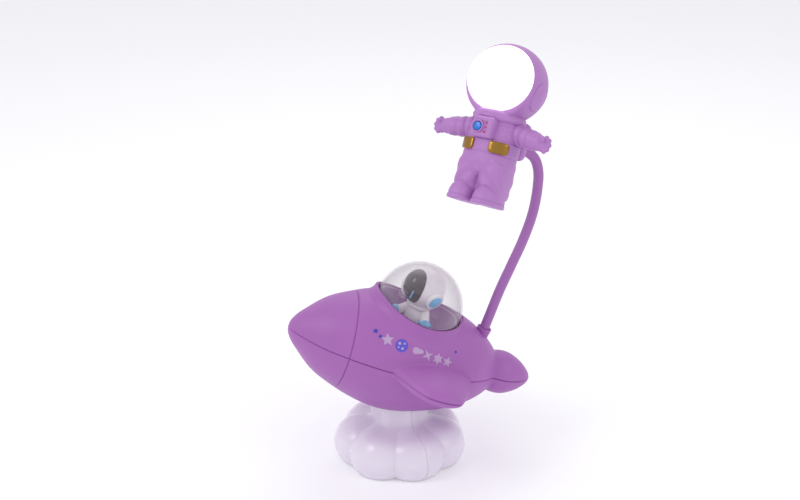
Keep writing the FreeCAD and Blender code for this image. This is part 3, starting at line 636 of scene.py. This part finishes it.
bm = bmesh.new()
ball(bm, PILOT_HEAD, (PILOT_HEAD_R, PILOT_HEAD_R, PILOT_HEAD_R), rings=48, sides=72)
on_both_ears(bm, EAR_SEAT, 1.4)
fitted(finished("pilot_helmet_shell", bm, IN_PILOT, VINYL_WHITE), "lamp_body", "white_toy", "pilot_helmet")

bm = bmesh.new()
ball(bm, (-1.4, -5.6, HEAD_UP + 0.6), VISOR_R, rings=40, sides=56)
fitted(finished("pilot_visor_bubble", bm, IN_PILOT, VISOR_BLACK), "lamp_body", "black_gloss", "pilot_visor")
bm = bmesh.new()
bar(bm, (1.6, -15.9, HEAD_UP - 0.8), (0.2, -15.2, HEAD_UP - 6.2), 0.6, 0.55, sides=12)
fitted(finished("pilot_visor_stripe", bm, IN_PILOT, SKY_BLUE), "lamp_body", "blue")

bm = bmesh.new()
on_both_ears(bm, EAR_CAP, 0.4)
fitted(finished("pilot_ear_caps", bm, IN_PILOT, SKY_BLUE), "lamp_body", "blue", "pilot_ear_discs")

bm = bmesh.new()
ball(bm, (0, 0, 11.5), (8.6, 7.6, 12.0), rings=36, sides=48)
for side in (-1, 1):
    bar(bm, (side * 6.2, -0.5, 17.5), (side * 12.0, -5.5, 12.8), 4.0, 3.4)
    bar(bm, (side * 4.5, -3, 4.5), (side * 5.5, -10, 3.8), 4.4, 3.8)
lathe(bm, PILOT_COLLAR, (0, 0, 20.4), (0, 0, 1))
fitted(finished("pilot_suit", bm, IN_PILOT, VINYL_WHITE), "lamp_body", "white_toy", "pilot_body")

bm = bmesh.new()
for side in (-1, 1):
    ball(bm, (side * 13.6, -7.0, 12.2), (4.3, 4.5, 4.2))
    bar(bm, (side * 11.2, -9.0, 13.4), (side * 10.6, -10.4, 14.2), 1.6, 1.4, sides=16)
fitted(finished("pilot_mittens", bm, IN_PILOT, SKY_BLUE), "lamp_body", "blue", "pilot_gloves")


# ---- Printed decoration ------------------------------------------------------------------------
# Pad-printed ink on the left side of the upper half: two small stars and a dot, a planet with
# craters, a comet and more stars.  Each is a thin film that follows the hull.
INK_T = 0.12             # drawn thicker than real ink, so that it clears the hull's facets
SECOND_INK_T = 0.16      # ink printed over the first
FILM_UNDER = 0.05
PALE_INK = moulded("pad-printed ink, pale lilac", "B99CC4", 0.5, grain=0.01)
VIOLET_INK = moulded("pad-printed ink, violet", "5650C4", 0.5, grain=0.01)
NAVY_INK = moulded("pad-printed ink, deep blue", "2A35AE", 0.5, grain=0.01)


def print_patch(bm, outline, s, degrees, film):
    """Film on the hull from an outline in millimetres: along the axis, and up round the hull."""
    base = float(np.interp(s, OUTLINE[:, 0], OUTLINE[:, 1]))
    points = np.array(outline, float)
    rings = []
    middle = points.mean(0)
    for scale, lift in [(1.0, -FILM_UNDER)] + [(share, film) for share in (1.0, 0.97, 0.66, 0.33, 0.0)]:
        p = middle + (points - middle) * scale
        at = np.array(s + p[:, 0])
        around = np.radians(degrees) + p[:, 1] / base
        r = hull_radius(at, around) + lift
        rings.append(np.stack([r * np.cos(around), at, r * np.sin(around)], -1))
    add_loops(bm, np.array(rings), capped=True)


def star(size, points=5, sharp=0.45, tilt=90):
    """Star with its points at a size, and its hollows at a share of it."""
    angles = np.radians(tilt) + np.arange(points * 2) * math.pi / points
    reach = size * np.where(np.arange(points * 2) % 2 == 0, 1, sharp)
    return np.stack([-reach * np.cos(angles), reach * np.sin(angles)], -1)


def disc(size, centre=(0, 0)):
    """Round dot."""
    angles = np.linspace(0, 2 * math.pi, 40, endpoint=False)
    return np.stack([size * np.cos(angles), size * np.sin(angles)], -1) + np.array(centre)


def comet(size):
    """Round head with a tapering tail."""
    angles = np.linspace(0, 2 * math.pi, 40, endpoint=False)
    reach = size * (0.55 + 0.75 * np.clip(np.cos(angles), 0, 1) ** 9)
    return np.stack([reach * np.cos(angles), reach * np.sin(angles)], -1)


def printed(name, ink, slot, *patches, film=INK_T):
    """One piece from patches, each an outline, a distance along the axis and degrees up."""
    bm = bmesh.new()
    for outline, s, degrees in patches:
        print_patch(bm, outline, s, degrees, film)
    fitted(finished(name, bm, IN_ROCKET, ink), "lamp_body", slot)


printed("print_small_stars", NAVY_INK, "blue",
        (star(2.1), 53.2, 36.0), (star(1.6, tilt=70), 56.8, 31.5), (disc(0.9), 112.0, 33.0))
PLANET_AT = (72.0, 26.8)
printed("print_planet", VIOLET_INK, "blue", (disc(4.4), *PLANET_AT))
printed("print_planet_craters", PALE_INK, "purple",
        *[(disc(size, centre), *PLANET_AT) for size, centre in
          ((1.0, (-1.6, 1.2)), (0.75, (1.7, 1.6)), (0.9, (0.9, -1.9)), (0.6, (-1.9, -1.5)))],
        film=SECOND_INK_T)
printed("print_pale_symbols", PALE_INK, "purple",
        (star(4.6, tilt=80), 62.0, 29.5), (comet(4.4), 82.5, 25.0), (star(4.4, 4, 0.3, 60), 91.5, 23.0),
        (star(4.0, 6, 0.55), 99.5, 21.8), (star(3.8, tilt=100), 107.0, 20.8))


# ---- Power parts -------------------------------------------------------------------------------
# Inside the hull: one round lithium cell in its cradle, the control board with its charging
# socket, and three soft leads.  Only the socket shows from outside.
finish_node(moulded("heat-shrink sleeve, green", "3B7F5A", 0.3, grain=0.01), "battery_cell")
finish_node(moulded("moulded ABS, off-white", "E6E4E8", 0.45),
            "battery_cradle", "reflector_ring", "chest_switch")
finish_node(rolled_metal("nickel-plated brass", "C9C6BF", 0.25), "charge_socket")
finish_node(moulded("PVC lead, black", "26262A", 0.4, grain=0.02), "rocket_wiring", "head_wiring")
finish_node(moulded("LED package, pale yellow", "EFE6B8", 0.3, grain=0.01), "glow_leds", "light_chips")


# ---- Gooseneck ---------------------------------------------------------------------------------
# Steel ball links run inside a smooth silicone sleeve that bends at each of them.  The sleeve
# leaves a flared ABS cup on the hull and ends in a plug in the lamp head's backpack.
NECK_R = 3.5
NECK_BORE_R = 2.5
CUP_TOP = Vector((0, 60.9, 96.8))
HINGES = [Vector(p) for p in ((0, 64.3, 106.2), (0.3, 71.2, 125.4), (0.7, 79.0, 144.2),
                              (1.4, 86.6, 163.2), (2.3, 92.4, 182.8), (3.3, 94.9, 203.0))]
NECK_TOP = [Vector(p) for p in ((3.7, 95.0, 209.7), (5.8, 91.1, 222.8), (9.7, 80.4, 230.7),
                                (12.35, 72.6, 233.2))]
SLEEVE_SUNK = 14         # how far the sleeve starts below the cup's lip
CUP_AXIS = (HINGES[1] - CUP_TOP).normalized()
# radius, height over the cup's lip
CUP = ((4.3, -12.0), (4.3, -9.0), (4.5, -6.0), (4.95, -2.2), (5.2, -0.8), (5.2, -0.2), (4.95, 0.0),
       (4.2, 0.0), (3.8, -0.3), (3.6, -1.0), (3.6, -12.0))
SILICONE = moulded("silicone sleeve, purple", "A065AC", 0.4, grain_mm=0.6, grain=0.04)

line = curve_through([CUP_TOP - CUP_AXIS * SLEEVE_SUNK, CUP_TOP - CUP_AXIS * 4] + HINGES + NECK_TOP, 260)
hinge_rows = [int(np.argmin(np.linalg.norm(line - np.array(h), axis=1))) for h in HINGES]
cuts = [0] + [(a + b) // 2 for a, b in zip(hinge_rows, hinge_rows[1:])] + [len(line) - 1]
heading = np.gradient(line, axis=0)
heading /= np.linalg.norm(heading, axis=1)[:, None]
side_way = np.cross(heading, (1.0, 0.0, 0.0))
side_way /= np.linalg.norm(side_way, axis=1)[:, None]
other_way = np.cross(heading, side_way)
spin = np.linspace(0, 2 * math.pi, 40, endpoint=False)[None, :, None]
for k, row in enumerate(hinge_rows):
    span = slice(cuts[k], cuts[k + 1] + 1)
    around = np.cos(spin) * side_way[span, None] + np.sin(spin) * other_way[span, None]
    skin = line[span, None] + NECK_R * around
    bore = line[span, None] + NECK_BORE_R * around
    bm = bmesh.new()
    add_loops(bm, np.concatenate([skin, bore[::-1]]))
    sleeve = finished(f"neck_sleeve_bend_{k + 1}", bm, IN_LAMP, SILICONE)
    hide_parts(*(["neck_sleeve_0"] if k == 0 else []), f"neck_sleeve_{k + 1}")
    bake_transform(sleeve)

bm = bmesh.new()
to_axis = np.array(Vector((0, 0, 1)).rotation_difference(CUP_AXIS).to_matrix())
grid = np.array([[(r * math.cos(a), r * math.sin(a), z)
                  for a in np.linspace(0, 2 * math.pi, 64, endpoint=False)] for r, z in CUP])
add_loops(bm, grid @ to_axis.T + np.array(CUP_TOP))
fitted(finished("neck_cup", bm, IN_LAMP, SOFT_PURPLE), "lamp_body", "purple", "neck_ferrule")
finish_node(rolled_metal("steel, satin", "9EA1A6", 0.3), *[f"neck_core_{k}" for k in range(7)])
finish_node(SOFT_PURPLE, "neck_plug")


# ---- Astronaut's suit --------------------------------------------------------------------------
# The lamp head is an astronaut in a padded suit, moulded in two ABS shells with arms pressed in.
# Soft folds, a yoke under the helmet, a belt band and thick-soled boots are part of the moulding.
# In the head's own frame x is its left, y its back and z goes up from the belt.
IN_HEAD = (Matrix.Translation((32, 55.5, 236.5)) @ Matrix.Rotation(math.radians(45.5), 4, "Z")
           @ Matrix.Rotation(math.radians(-25), 4, "X"))
# height, half width, half depth
TORSO = ((-17, 12, 9), (-14, 16.4, 12.6), (-9, 17.9, 13.9), (-3, 18.2, 14.3), (4, 18.0, 14.2),
         (8, 18.2, 14.2), (16, 17.4, 13.6), (21, 15.4, 12.4), (25, 12.5, 10.5))
LEG = ((-8, 8.8, 12.2), (-14, 9.3, 12.2), (-20, 9.4, 11.4), (-26, 9.4, 10.8), (-29, 9.0, 10.4))
# height, half width, half depth, thickness of each roll of the yoke
YOKE = ((21.6, 15.6, 12.9, 2.9), (23.6, 14.9, 13.2, 2.6))
BELT = (-1.8, 6.1)
LEG_X = 8.9
HIP_R = (9.6, 13.2, 9.0)
BOOT_X, BOOT_Y = 9.3, -3.6
BOOT_HALF_WIDTH, BOOT_HALF_LENGTH = 9.5, 14.0
BOOT_TOP = 11.0          # height of the boot's dome over its sole
SOLE_Z = -35.5
SOLE_LINE_Z = -32.4
# height, share of the boot's width
SOLE = ((SOLE_Z, 0.96), (SOLE_Z + 0.5, 1.0), (-33.0, 1.0), (-32.7, 0.985), (SOLE_LINE_Z, 0.965))
SUIT_PURPLE = moulded("satin ABS, lilac purple", "B07ABD", 0.45, grain_mm=0.8, grain=0.04)


def applied(made):
    """Turn what the piece's modifiers give into its own plain mesh."""
    bpy.context.view_layer.update()
    shape = made.evaluated_get(bpy.context.evaluated_depsgraph_get())
    made.data = bpy.data.meshes.new_from_object(shape)
    made.modifiers.clear()
    return made


def as_one_skin(made, voxel_mm, smoothing):
    """Fuse overlapping solids into one soft moulded skin."""
    remesh = made.modifiers.new("one skin", "REMESH")
    remesh.mode, remesh.voxel_size, remesh.use_smooth_shade = "VOXEL", voxel_mm * MM, True
    smooth = made.modifiers.new("soften", "SMOOTH")
    smooth.factor, smooth.iterations = 0.5, smoothing
    return applied(made)


def folded(made, place, depth):
    """Move each vertex along its normal by depth(x, y, z), given in the piece's own millimetres."""
    mesh = made.data
    count = len(mesh.vertices)
    points, normals = np.empty(count * 3), np.empty(count * 3)
    mesh.vertices.foreach_get("co", points)
    mesh.vertices.foreach_get("normal", normals)
    points, normals = points.reshape(-1, 3), normals.reshape(-1, 3)
    back = np.array(place.inverted())
    local = points / MM @ back[:3, :3].T + back[:3, 3]
    points += normals * depth(*local.T)[:, None] * MM
    mesh.vertices.foreach_set("co", points.ravel())
    mesh.update()
    return made


def line_at(distance, width):
    """1 on a moulded line, fading to 0 at its edges."""
    return 1 - smoothstep(np.abs(distance) / width)


def superellipse(half_width, half_depth, squareness, count=72):
    """Closed oval that is squarer than an ellipse where squareness is over 2."""
    v = np.linspace(0, 2 * math.pi, count, endpoint=False)
    c, s = np.cos(v), np.sin(v)
    power = 2 / squareness
    return half_width * np.sign(c) * np.abs(c) ** power, half_depth * np.sign(s) * np.abs(s) ** power


def stacked_ovals(sections, squareness, x_at=0.0, y_at=0.0):
    """Grid from ovals given as height, half width and half depth, about an upright line."""
    rows = []
    for z, width, depth in sections:
        x, y = superellipse(width, depth, squareness)
        rows.append(np.stack([x + x_at, y + y_at, z + 0 * x], -1))
    return np.array(rows)


bm = bmesh.new()
add_loops(bm, stacked_ovals(curve_through(TORSO, 60), 2.3), capped=True)
for height, width, depth, tube in YOKE:
    x, y = superellipse(width, depth, 2.1)
    v = np.linspace(0, 2 * math.pi, 18, endpoint=False)
    rows = [np.stack([x * (1 + tube * math.cos(a) / width), y * (1 + tube * math.cos(a) / depth),
                      height + tube * 0.9 * math.sin(a) + 0 * x], -1) for a in v]
    add_loops(bm, np.array(rows))
for side in (-1, 1):
    add_loops(bm, stacked_ovals(LEG, 2.9, side * LEG_X, -0.3), capped=True)
    ball(bm, (side * LEG_X, 0.2, -8), HIP_R)
    boot = list(SOLE)
    for a in np.linspace(0.05, math.pi / 2, 14):
        share = 0.965 * math.cos(a) ** 0.8 if a < 1.55 else 0.02     # the last row closes the dome
        boot.append((-32.2 + BOOT_TOP * math.sin(a), share))
    sections = [(z, BOOT_HALF_WIDTH * share, BOOT_HALF_LENGTH * share) for z, share in boot]
    add_loops(bm, stacked_ovals(sections, 2.25, side * BOOT_X, BOOT_Y), capped=True)
suit = as_one_skin(finished("suit_body", bm, IN_HEAD, SUIT_PURPLE), 0.5, 5)


def suit_folds(x, y, z):
    """Raised belt band, the soles' line, and soft folds over the chest and legs."""
    depth = 0.5 * (smoothstep((z - BELT[0]) / 0.6) - smoothstep((z - BELT[1]) / 0.6))
    depth -= 0.35 * (line_at(z - BELT[0] + 0.5, 0.6) + line_at(z - BELT[1] - 0.5, 0.6))
    depth -= 0.4 * line_at(z - SOLE_LINE_Z, 0.55)
    chest = smoothstep((z - 7) / 2) * (1 - smoothstep((z - 21) / 2))
    depth += 0.2 * np.sin(z * 1.3 + 0.1 * np.abs(x) + np.sin(x * 0.3)) * chest
    legs = smoothstep((-z - 6) / 4) * (1 - smoothstep((-z - 24) / 3))
    across = np.abs(x) - LEG_X
    depth += 0.3 * np.sin((z + 0.9 * across) * 0.62 + 0.2 * y) * legs
    return depth


folded(suit, IN_HEAD, suit_folds)
fitted(suit, "head", "purple", "suit_front_shell", "suit_rear_shell")

SHOULDER = Vector((14.0, 0.6, 14.2))
WRIST = Vector((35.2, -3.8, 11.0))
HAND = Vector((38.6, -4.5, 10.4))
PALM_R = (4.0, 3.4, 5.0)
SLEEVE_LINE = 8.0        # how far along the arm its deep line is
SLEEVE_END = 15.5
# reach from the palm's middle, degrees up, radius of the tip
FINGERS = ((5.0, 62, 1.6), (5.7, 30, 1.7), (5.9, 0, 1.7), (5.6, -30, 1.7), (5.0, -60, 1.6))
for side, name in ((1, "left_arm"), (-1, "right_arm")):
    flip = Matrix.Diagonal((side, 1, 1, 1))
    bm = bmesh.new()
    shoulder, wrist, hand = (flip @ p for p in (SHOULDER, WRIST, HAND))
    cuff = shoulder.lerp(wrist, 0.80)
    bar(bm, shoulder, cuff, 7.4, 6.3, sides=40)
    bar(bm, cuff, shoulder.lerp(wrist, 0.98), 5.6, 5.3, sides=40)
    ball(bm, hand, PALM_R)
    for reach, angle, thick in FINGERS:
        a = math.radians(angle)
        tip = hand + Vector((side * reach * 0.78 * math.cos(a), -1.0, reach * math.sin(a)))
        bar(bm, hand, tip, 2.2, thick, sides=16)
    bar(bm, hand, hand + Vector((side * 1.0, -4.0, 2.4)), 1.9, 1.5, sides=16)
    arm = as_one_skin(finished(name + "_sleeve_and_glove", bm, IN_HEAD, SUIT_PURPLE), 0.38, 3)
    axis = np.array((wrist - shoulder).normalized())
    start = np.array(shoulder)

    def arm_folds(x, y, z):
        """Creases along the sleeve and one deep line round it."""
        along = (x - start[0]) * axis[0] + (y - start[1]) * axis[1] + (z - start[2]) * axis[2]
        sleeve_part = 1 - smoothstep((along - SLEEVE_END) / 1.5)
        folds = 0.2 * np.sin(along * 1.15 + 0.15 * z) * sleeve_part
        return folds - 0.4 * line_at(along - SLEEVE_LINE, 0.7)

    folded(arm, IN_HEAD, arm_folds)
    fitted(arm, "head", "purple", name)


# ---- Backpack ----------------------------------------------------------------------------------
# A life-support pack with four tanks between two rails, glued on the suit's back.  The
# gooseneck's plug goes into it.
PACK = ((-13.6, 8, -0.5), (13.6, 19.6, 24.5))
RAILS = (((-8, 17, 20.2), (8, 21.0, 23.4)), ((-8, 17, 0.4), (8, 21.0, 3.0)))
# how far out, how far back, bottom, top, radius
TANKS = ((12.0, 14.8, 3.2, 19.6, 4.4), (6.0, 17.8, 5.0, 18.0, 3.4))
STRAP_LINES = (7.5, 15.5)
MIDDLE_LINE = 12


def rounded_box(bm, low, high, radius, steps=4):
    """Closed box with rounded edges."""
    made = bmesh.ops.create_cube(bm, size=1.0)["verts"]
    low, high = Vector(low), Vector(high)
    for vertex in made:
        vertex.co = Vector([(a + b) / 2 + c * (b - a) for a, b, c in zip(low, high, vertex.co)])
    edges = list({edge for vertex in made for edge in vertex.link_edges})
    bmesh.ops.bevel(bm, geom=edges, offset=radius, segments=steps, profile=0.5, affect="EDGES")


bm = bmesh.new()
rounded_box(bm, *PACK, 3.2)
for side in (-1, 1):
    for out, back, bottom, top, radius in TANKS:
        bar(bm, (side * out, back, bottom), (side * out, back, top), radius, radius)
for low, high in RAILS:
    rounded_box(bm, low, high, 1.2)
backpack = as_one_skin(finished("life_support_pack", bm, IN_HEAD, SUIT_PURPLE), 0.5, 3)


def pack_lines(x, y, z):
    """Two strap lines round the outer tanks and one line across the inner ones."""
    straps = sum(line_at(z - height, 0.6) for height in STRAP_LINES) * (np.abs(x) > 8)
    return -0.4 * straps - 0.35 * line_at(z - MIDDLE_LINE, 0.6) * (np.abs(x) < 8)


folded(backpack, IN_HEAD, pack_lines)
fitted(backpack, "head", "purple", "backpack")


# ---- Helmet and lit face -----------------------------------------------------------------------
# The helmet is an ABS shell with a rolled lip, a seam over its crown and a round cover on each
# ear.  The face is a bulging opal diffuser, lit evenly from behind by white LEDs.
HELMET = Vector((0, -2, 45.0))
HELMET_R = (26.8, 27.0, 26.0)
FACE_Y = -11.5
FACE_Z = 46.4
FACE_R = (25.1, 17.5, 22.4)
FACE_BACK = 3.7          # how far the lens is widest behind its rim
HELMET_WALL = 2.0
CROWN_SEAM = 1.42        # angle of the seam from the back pole
# share of the way from the shell's edge to the lens's, how far forward
ROLLED_LIP = ((0.35, -0.5), (0.75, -0.85), (0.96, -0.75), (1.0, -0.3), (1.0, 1.2))
EAR_COVER_HALF = (7.6, 8.8)
EAR_COVER_AT = (-1.0, 39.5)
# share of the cover's size, height over the helmet
EAR_COVER = ((1.06, -1.6), (1.04, 0.1), (1.0, 0.75), (0.93, 1.0), (0.87, 0.85), (0.82, 0.7), (0.6, 1.0),
             (0.3, 1.2), (0.01, 1.25))
LENS_T = 1.8
v = np.linspace(0, 2 * math.pi, 160, endpoint=False)


def face_outline(grow):
    """The lens's edge: slightly wider than tall, and flatter below."""
    waist = math.sqrt(1 - (FACE_BACK / FACE_R[1]) ** 2)
    tall = (FACE_R[2] - 0.7 * (np.sin(v) < 0)) * waist + grow
    return (FACE_R[0] * waist + grow) * np.cos(v), FACE_Z + tall * np.sin(v)


def helmet_row(angle, inset):
    """Ring of the shell; the angle runs from the back pole to the front lip."""
    across = np.sin(angle)
    x = (HELMET_R[0] - inset) * across * np.cos(v)
    z = HELMET.z + (HELMET_R[2] - inset) * across * np.sin(v)
    return np.stack([x, HELMET.y + (HELMET_R[1] - inset) * np.cos(angle) + 0 * v, z], -1)


lip_angle = math.acos((FACE_Y - HELMET.y) / HELMET_R[1])
rows = [helmet_row(a, 0.25 * line_at((a - CROWN_SEAM) * (HELMET_R[1] - 1), 0.7))
        for a in np.linspace(0.0005, lip_angle, 90)]
edge, (x, z) = rows[-1], face_outline(0.15)
for out, forward in ROLLED_LIP:
    rows.append(np.stack([edge[:, 0] * (1 - out) + x * out, FACE_Y + forward + 0 * x,
                          edge[:, 2] * (1 - out) + z * out], -1))
inner_lip = math.acos((FACE_Y + 2.2 - HELMET.y) / (HELMET_R[1] - HELMET_WALL))
rows += [helmet_row(a, HELMET_WALL) for a in np.linspace(inner_lip, 0.0005, 40)]
bm = bmesh.new()
add_loops(bm, np.array(rows), capped=True)
fitted(finished("helmet", bm, IN_HEAD, SUIT_PURPLE, hard_edge=50), "head", "purple", "helmet_shell")

bm = bmesh.new()
for side in (-1, 1):
    rows = []
    for share, lift in EAR_COVER:
        y, z = superellipse(EAR_COVER_HALF[0] * share, EAR_COVER_HALF[1] * share, 2.4)
        y, z = y + EAR_COVER_AT[0], z + EAR_COVER_AT[1]
        sunk = 1 - ((y - HELMET.y) / HELMET_R[1]) ** 2 - ((z - HELMET.z) / HELMET_R[2]) ** 2
        rows.append(np.stack([side * (HELMET_R[0] * np.sqrt(np.clip(sunk, 0, 1)) + lift), y, z], -1))
    add_loops(bm, np.array(rows), capped=True)
fitted(finished("helmet_ear_covers", bm, IN_HEAD, SUIT_PURPLE), "head", "purple")

LIT_OPAL, tree = new_material("opal polycarbonate diffuser, lit")
where = add_node(tree, "ShaderNodeTexCoord").outputs["Object"]
haze = add_node(tree, "ShaderNodeTexNoise", {"Vector": where, "Scale": 1 / (12 * MM), "Detail": 1.0})
tone = add_node(tree, "ShaderNodeValToRGB", {"Fac": haze.outputs["Fac"]})
tone.color_ramp.elements[0].color = linear("FCFCFF")
tone.color_ramp.elements[1].color = linear("FFFFFF")
shader = add_node(tree, "ShaderNodeBsdfPrincipled", {
    "Base Color": linear("FFFFFF"), "Roughness": 0.35, "IOR": 1.58,
    "Emission Color": tone.outputs["Color"], "Emission Strength": 1.3})
add_node(tree, "ShaderNodeOutputMaterial", {"Surface": shader.outputs[0]})
rows = []
edge_angle = math.acos(FACE_BACK / FACE_R[1])
for wall, angles in ((0.0, np.linspace(0.002, edge_angle, 46)),
                     (LENS_T, np.linspace(edge_angle, 0.002, 24))):
    x, z = face_outline(-wall)
    for a in angles:
        share = math.sin(a) / math.sin(edge_angle)
        rows.append(np.stack([x * share, FACE_Y + FACE_BACK - (FACE_R[1] - wall) * math.cos(a) + 0 * x,
                              FACE_Z + (z - FACE_Z) * share], -1))
bm = bmesh.new()
add_loops(bm, np.array(rows), capped=True)
fitted(finished("lit_face", bm, IN_HEAD, LIT_OPAL), "head", "opal", "face_lens")


# ---- Chest pack, button, lights and belt pouches -----------------------------------------------
# A control box on the chest holds the blue push button in a raised ring, beside three red
# painted lights.  Two gold-lacquered pouches sit on the belt.
BOX_FRONT = -19.0
BOX = ((-7.9, BOX_FRONT, 6.2), (7.3, -10.5, 19.8))
BUTTON = Vector((-3.4, BOX_FRONT, 12.8))
BUTTON_R = 2.8
BUTTON_PLAY = 0.3
BUTTON_OUTLINE = ((0, -2.9), (BUTTON_R - 0.3, -2.9), (BUTTON_R, -2.6), (BUTTON_R, 0.35),
                  (BUTTON_R - 0.35, 0.7), (BUTTON_R * 0.5, 0.87), (0, 0.9))
LIGHT = ((0, -0.6), (0.8, -0.6), (0.8, 0.1), (0.6, 0.3), (0, 0.38))
LIGHTS = 3
LIGHT_STEP = 3.0
LOWEST_LIGHT = (2.7, BOX_FRONT, 9.7)
POUCH_X = (5.6, 16.4)
POUCH_Z, POUCH_HALF_HEIGHT = 1.9, 3.9
BELT_HALF_WIDTH, BELT_HALF_DEPTH, BELT_SQUARENESS = 18.1, 14.2, 2.3
# share of the pouch's face, height over the belt
POUCH = ((1.0, -0.6), (1.0, 1.0), (0.97, 1.5), (0.9, 1.75), (0.6, 1.85), (0.3, 1.85), (0.02, 1.85))

bm = bmesh.new()
rounded_box(bm, *BOX, 1.6)
chest = finished("chest_control_box", bm, IN_HEAD, SUIT_PURPLE)
bm = bmesh.new()
bore_r = BUTTON_R + BUTTON_PLAY
lathe(bm, ((0, -2), (bore_r, -2), (bore_r, 6), (0, 6)), BUTTON, (0, 1, 0))
drill = finished("drill", bm, IN_HEAD, SUIT_PURPLE)
cut = chest.modifiers.new("bore", "BOOLEAN")
cut.operation, cut.object, cut.solver = "DIFFERENCE", drill, "EXACT"
applied(chest)
bpy.data.objects.remove(drill)
fitted(chest, "head", "purple", "chest_pack")

bm = bmesh.new()
section = [(BUTTON_R + 1.0 + 0.6 * math.cos(a), 0.25 + 0.5 * math.sin(a)) for a in
           np.linspace(0, 2 * math.pi, 16, endpoint=False)]
grid = np.array([[(BUTTON.x + r * math.cos(b), BUTTON.y - h, BUTTON.z + r * math.sin(b))
                  for b in np.linspace(0, 2 * math.pi, 64, endpoint=False)] for r, h in section])
add_loops(bm, grid)
fitted(finished("button_ring", bm, IN_HEAD, SUIT_PURPLE), "head", "purple")

BUTTON_BLUE = moulded("glossy ABS, royal blue", "1F74D2", 0.22, grain=0.01)
bm = bmesh.new()
lathe(bm, BUTTON_OUTLINE, BUTTON, (0, -1, 0))
fitted(finished("chest_push_button", bm, IN_HEAD, BUTTON_BLUE), "chest_button", "blue", "chest_button")

CARMINE = moulded("glossy paint, carmine", "B0164F", 0.25, grain=0.01)
bm = bmesh.new()
lathe(bm, LIGHT, LOWEST_LIGHT, (0, -1, 0), sides=28)
lights = finished("chest_lights", bm, IN_HEAD, CARMINE)

row = bpy.data.node_groups.new("row of painted lights", "GeometryNodeTree")
sockets = {}
for key, way, kind in (("Lowest light", "INPUT", "Geometry"), ("Count", "INPUT", "Int"),
                       ("Step", "INPUT", "Vector"), ("Paint", "INPUT", "Material"),
                       ("Row", "OUTPUT", "Geometry")):
    sockets[key] = row.interface.new_socket(key, in_out=way, socket_type="NodeSocket" + kind).identifier
given = add_node(row, "NodeGroupInput").outputs
places = add_node(row, "GeometryNodeMeshLine", {"Count": given["Count"], "Offset": given["Step"]})
each = add_node(row, "GeometryNodeInstanceOnPoints", {
    "Points": places.outputs["Mesh"], "Instance": given["Lowest light"]})
real = add_node(row, "GeometryNodeRealizeInstances", {"Geometry": each.outputs["Instances"]})
painted = add_node(row, "GeometryNodeSetMaterial", {
    "Geometry": real.outputs["Geometry"], "Material": given["Paint"]})
add_node(row, "NodeGroupOutput", {"Row": painted.outputs["Geometry"]})
repeat = lights.modifiers.new("row", "NODES")
repeat.node_group = row
repeat[sockets["Count"]] = LIGHTS
repeat[sockets["Step"]] = IN_HEAD.to_3x3() @ Vector((0, 0, LIGHT_STEP * MM))
repeat[sockets["Paint"]] = CARMINE
fitted(applied(lights), "head", "blue")

GOLD = rolled_metal("gold lacquer on ABS", "A07A3C", 0.3, grain_mm=1.5)
bm = bmesh.new()
for side in (-1, 1):
    out = []
    for x in np.linspace(*POUCH_X, 15):
        share = (abs(x) / BELT_HALF_WIDTH) ** BELT_SQUARENESS
        out.append((side * x, -BELT_HALF_DEPTH * (1 - share) ** (1 / BELT_SQUARENESS)))
    curve = np.array(out)
    normal = np.gradient(curve, axis=0)[:, ::-1] * np.array([1, -1])
    normal /= np.linalg.norm(normal, axis=1)[:, None]
    normal *= np.sign(-normal[:, 1:2])
    rows = []
    for share, lift in POUCH:
        ring = []
        x, z = superellipse(1.0, 1.0, 5.0, count=64)
        for a, b in zip(x, z):
            at = (a * share * 0.5 + 0.5) * 14
            k = min(int(at), 13)
            here = curve[k] + (curve[k + 1] - curve[k]) * (at - k)
            n = normal[min(int(round(at)), 14)]
            ring.append((here[0] + n[0] * lift, here[1] + n[1] * lift,
                         POUCH_Z + b * share * POUCH_HALF_HEIGHT))
        rows.append(ring)
    add_loops(bm, np.array(rows), capped=True)
fitted(finished("belt_pouch_pair", bm, IN_HEAD, GOLD), "head", "gold", "belt_pouches")
